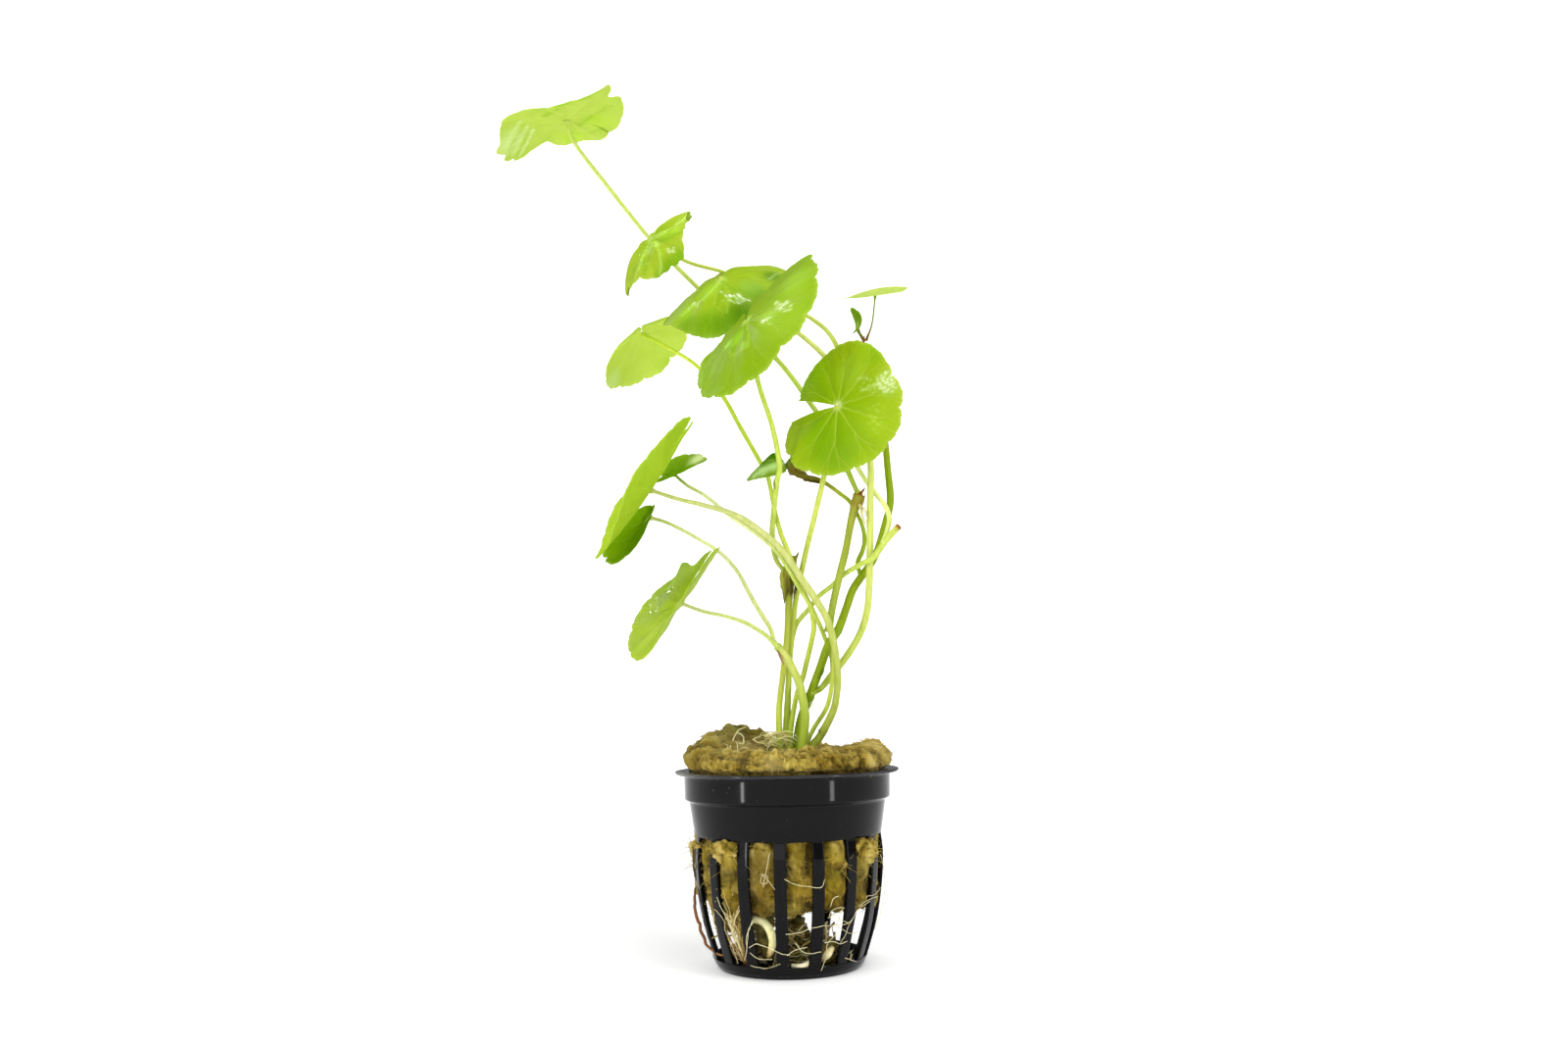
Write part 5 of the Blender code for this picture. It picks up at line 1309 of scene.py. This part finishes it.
def blade_faces(rows, columns):
    """Faces of a blade whose upper side's vertices come first, and its underside's after them."""
    faces = []
    offset = rows * columns
    for i in range(rows - 1):
        for j in range(columns - 1):
            a, b = i * columns + j, (i + 1) * columns + j
            faces.append((a, b, b + 1, a + 1))
            faces.append((offset + a, offset + a + 1, offset + b + 1, offset + b))
    last = (rows - 1) * columns
    for j in range(columns - 1):
        faces.append((last + j, offset + last + j, offset + last + j + 1, last + j + 1))
        faces.append((j, j + 1, offset + j + 1, offset + j))
    for i in range(rows - 1):
        a, b = i * columns, (i + 1) * columns
        faces.append((a, offset + a, offset + b, b))
        a, b = a + columns - 1, b + columns - 1
        faces.append((a, b, offset + b, offset + a))
    return faces


def leaf_blade(name, leaf, finish):
    lobes, radius = leaf["lobes"], leaf["radius"]
    sectors = SECTORS_PER_LOBE * lobes
    share = np.linspace(0, 1, RINGS + 1) ** 0.9
    share[0] = 0.004
    share, round_share = np.meshgrid(share, np.linspace(0, 1, sectors + 1), indexing="ij")
    middle = blade_surface(leaf, share, round_share)
    normals = np.cross(np.gradient(middle, axis=0), np.gradient(middle, axis=1))
    normals /= np.maximum(np.linalg.norm(normals, axis=2), 1e-9)[..., None]
    normals[0] = blade_axes(leaf)[0]
    if normals[RINGS // 2, sectors // 2] @ blade_axes(leaf)[0] < 0:
        normals = -normals
    wavy = np.array([noise.fractal(Vector(p) * 0.14 + Vector((radius, 0, 0)), 1.0, 2.0, 3)
                     for p in middle.reshape(-1, 3)]).reshape(share.shape)
    middle = middle + normals * (0.022 * radius * wavy * share)[..., None]
    edge = np.clip((1 - share) / 0.05, 0, 1) ** 0.5
    half = (BLADE_THICKNESS / 2 * (1.1 - 0.45 * share) * (0.25 + 0.75 * edge))[..., None]

    inner, under, rim = LEAF_TINTS[name]
    core = np.exp(-(share * radius / 1.1) ** 2)[..., None]
    margin = np.clip((share - 0.955) / 0.045, 0, 1)[..., None]
    upper = painted(linear(inner), rim, share[..., None] ** 2)
    upper = painted(painted(upper, PALE_CORE, 0.7 * core), PALE_MARGIN, 0.3 * margin)
    lower = painted(linear(under), PALE_MARGIN, 0.25 * margin)
    for amount, code, on_both in leaf_paint(name, middle):
        upper = painted(upper, code, amount[..., None])
        if on_both:
            lower = painted(lower, code, amount[..., None])
    wets = np.zeros(share.shape)
    for spot in WET_PLACES.get(name, ()):
        wets = np.maximum(wets, nearness(middle, *spot))
    places = np.stack([round_share * lobes, share, np.full_like(share, radius * 2 * pi / lobes)], axis=-1)
    mesh = Mesh()
    mesh.add(np.stack([middle + normals * half, middle - normals * half]).reshape(-1, 3),
             blade_faces(*share.shape), np.stack([upper, lower]).reshape(-1, 3),
             np.stack([places, places]).reshape(-1, 3), np.tile(wets.ravel(), 2))
    mesh.make(name + "_blade", finish, "leaf", name)


# Roots

def roots(finish, picker):
    mesh = Mesh()
    rod(mesh, drawn(THICK_ROOT), ("#f0e69c", "#fdf8bc", "#fffbbe", "#fdf4b0", "#c89a58"), 0.5, 12)
    mesh.make("root_thick_tissue", finish, "root", "root_thick")

    mesh = Mesh()
    for _ in range(BUNDLE_STRANDS):
        top = (picker.uniform(727, 762), picker.uniform(900, 945))
        bend = (0.5 * top[0] + 0.5 * 755 + picker.gauss(0, 4), picker.uniform(945, 965))
        foot = (picker.gauss(760, 1.8), picker.uniform(972, 987))
        inward = picker.uniform(0.2, 1.4)
        thick = picker.uniform(0.07, 0.17)
        tone = picker.choice(("#ded29a", "#e6daa6", "#c2ae6c", "#9a7c3c"))
        knots = [(*spot, wall_depth(*spot) + inward + deeper, thick * share)
                 for spot, deeper, share in ((top, 0, 1), (bend, 0, 1), (foot, 1.5, 0.7))]
        rod(mesh, drawn(knots), (tone, tone, tone, "#8a5c2c"), 0.9, 5, 0.6, picker)
    mesh.make("root_bundle_strands", finish, "root", "root_bundle")

    mesh = Mesh()
    rod(mesh, drawn(SIDE_ROOT), ("#6b3c1c", "#8a5a30", "#7c4f28", "#a07848"), 0.7, 7, 0.3, picker)
    rod(mesh, drawn(SIDE_THREAD), ["#4d3a2a"], 0.8, 6, 0.2, picker)
    mesh.make("root_side_strand", finish, "root", "root_side")

    mesh = Mesh()
    for places in MAT_LUMPS:
        route = smooth_route(drawn(places), 0.4)
        verts, faces, _ = sweep(route, 16, uneven(route, 16, 0.3, picker))
        shade = np.clip(0.5 + grain(verts, 0.5), 0, 1)
        mesh.add(verts, faces, ramp(("#4c4416", "#6f6626", "#8d8238"), shade))
    for colours, *places in MAT_ENDS:
        verts, faces, share = sweep(smooth_route(drawn(places), 0.5), 9)
        mesh.add(verts, faces, ramp(colours, share))
    for _ in range(MAT_STRANDS):
        across, down = picker.gauss(808, 18), picker.uniform(948, 986)
        depth = picker.uniform(-11, 2)
        length = picker.uniform(8, 28)
        angle = picker.uniform(0, pi)
        dx, dy = length * cos(angle), 0.6 * length * sin(angle)
        thick = picker.uniform(0.06, 0.3)
        tone = picker.choice(("#8c8038", "#776a2c", "#a39350", "#5f5226", ROOT_PALE))
        knots = [(across - dx, down - dy, depth, thick),
                 (across, down + picker.gauss(0, 4), depth - 1, thick),
                 (across + dx, down + dy, depth + 1, thick)]
        rod(mesh, drawn(knots), [tone], 0.9, 5, 0.5, picker)
    mesh.make("root_mat_strands", finish, "root", "root_mat")


def rootlets(finish, picker):
    mesh = Mesh()
    for places in ROOTLETS:
        knots = [(across, down, wall_depth(across, down) - 0.6, 0.075) for across, down in places]
        tone = picker.choice((ROOT_PALE, "#ddd3a4", "#ece2b8"))
        rod(mesh, drawn(knots), [tone], 0.6, 5, 0.22, picker)
    for thick, *places in TOP_ROOTLETS:
        knots = [(*place, thick) for place in places]
        rod(mesh, drawn(knots), [ROOT_CREAM], 0.7, 5, 0.2, picker)
    for _ in range(FOOT_HAIRS):
        across, down = picker.uniform(783, 808), picker.uniform(749, 762)
        dx, dy = picker.uniform(3, 12), picker.gauss(0, 3)
        depth = picker.uniform(-3, 3)
        tone = picker.choice((ROOT_CREAM, "#e9e6a0", "#d5d48a", "#b5a860"))
        knots = [(across - dx, down - dy, depth, 0.1), (across, down - picker.uniform(0, 6), depth, 0.12),
                 (across + dx, down + dy, depth, 0.08)]
        rod(mesh, drawn(knots), [tone], 0.7, 5, 0.2, picker)
    mesh.make("rootlets", finish, "root")


# Camera, light and floor

def add_camera():
    yaw = np.arctan((PICTURE_MIDDLE - PICTURE_AXIS) / PICTURE_DISTANCE)
    ahead = np.array([sin(yaw) * cos(EYE_PITCH), cos(yaw) * cos(EYE_PITCH), sin(EYE_PITCH)])
    right = np.array([cos(yaw), -sin(yaw), 0])
    up = np.cross(right, ahead)
    across = cos(EYE_ROLL) * right - sin(EYE_ROLL) * up
    upward = sin(EYE_ROLL) * right + cos(EYE_ROLL) * up
    turn = np.stack([across, upward, -ahead], axis=1)
    place = (0.0, -EYE_DISTANCE * MM, EYE_HEIGHT * MM)
    lens = bpy.data.cameras.new("camera")
    lens.lens = LENS
    lens.sensor_width = 36.0
    lens.clip_start = 0.01
    eye = bpy.data.objects.new("camera", lens)
    eye.matrix_world = Matrix([[*row, shift] for row, shift in zip(turn, place)] + [[0, 0, 0, 1]])
    bpy.context.scene.collection.objects.link(eye)
    bpy.context.scene.camera = eye


def add_light(name, place, target, size, power):
    lamp = bpy.data.lights.new(name, "AREA")
    lamp.shape = "RECTANGLE"
    lamp.size, lamp.size_y = size
    lamp.energy = power
    made = bpy.data.objects.new(name, lamp)
    made.location = place
    made.visible_camera = False
    made.rotation_euler = (Vector(target) - Vector(place)).to_track_quat("-Z", "Y").to_euler()
    bpy.context.scene.collection.objects.link(made)


def add_backdrop():
    """A pale floor that sweeps up into a wall behind the plant."""
    made, tree, shader = new_material(
        "studio_paper", 0.9, Specular_IOR_Level=0.1, Emission_Strength=0.28, Emission_Color=(1, 1, 1, 1))
    colour = blend(tree, "MIX", texture(tree, 0.01, 2.0), (0.88, 0.88, 0.88, 1), (0.9, 0.9, 0.9, 1))
    tree.links.new(colour, shader.inputs["Base Color"])
    floor = [(-1.6, 0.0), (0.9, 0.0)]
    wall = [(0.9 + 0.6 * sin(a), 0.6 - 0.6 * cos(a)) for a in np.linspace(0, pi / 2, 15)] + [(1.5, 2.4)]
    for name, side in (("floor", floor), ("wall", wall)):
        verts = [(x, y, z) for x in (-3.0, 3.0) for y, z in side]
        count = len(side)
        mesh = bpy.data.meshes.new(name)
        mesh.from_pydata(verts, [], [(i, count + i, count + i + 1, i + 1) for i in range(count - 1)])
        sheet = shown(name, mesh, made)
        sheet.visible_glossy = name == "floor"


def add_studio():
    world = bpy.data.worlds.new("studio")
    world.use_nodes = True
    back = world.node_tree.nodes["Background"]
    back.inputs["Color"].default_value = (1, 1, 1, 1)
    back.inputs["Strength"].default_value = 0.22
    bpy.context.scene.world = world
    bpy.context.scene.view_settings.view_transform = "Standard"
    for lamp in LAMPS:
        add_light(*lamp)


def main():
    picker = random.Random(11)
    leaf = leaf_material("leaf_tissue", 0.3, 0.0)
    wet_leaf = leaf_material("wet_leaf_tissue", 0.35, 0.04)
    veined_leaf = leaf_material("veined_leaf_tissue", 0.65, 0.12)
    leaf_finishes = {**dict.fromkeys(WET_PLACES, wet_leaf), "leaf_06": veined_leaf}
    stalk, wool, root, plastic = stalk_material(), wool_material(), root_material(), plastic_material()
    net_pot(plastic)
    wool_fibres(wool, *wool_plug(wool), picker)
    wool_tufts(wool, picker)
    stalks(stalk, picker)
    for name, blade in LEAVES.items():
        leaf_blade(name, blade, leaf_finishes.get(name, leaf))
    roots(root, picker)
    rootlets(root, picker)
    add_backdrop()
    add_studio()
    add_camera()


main()
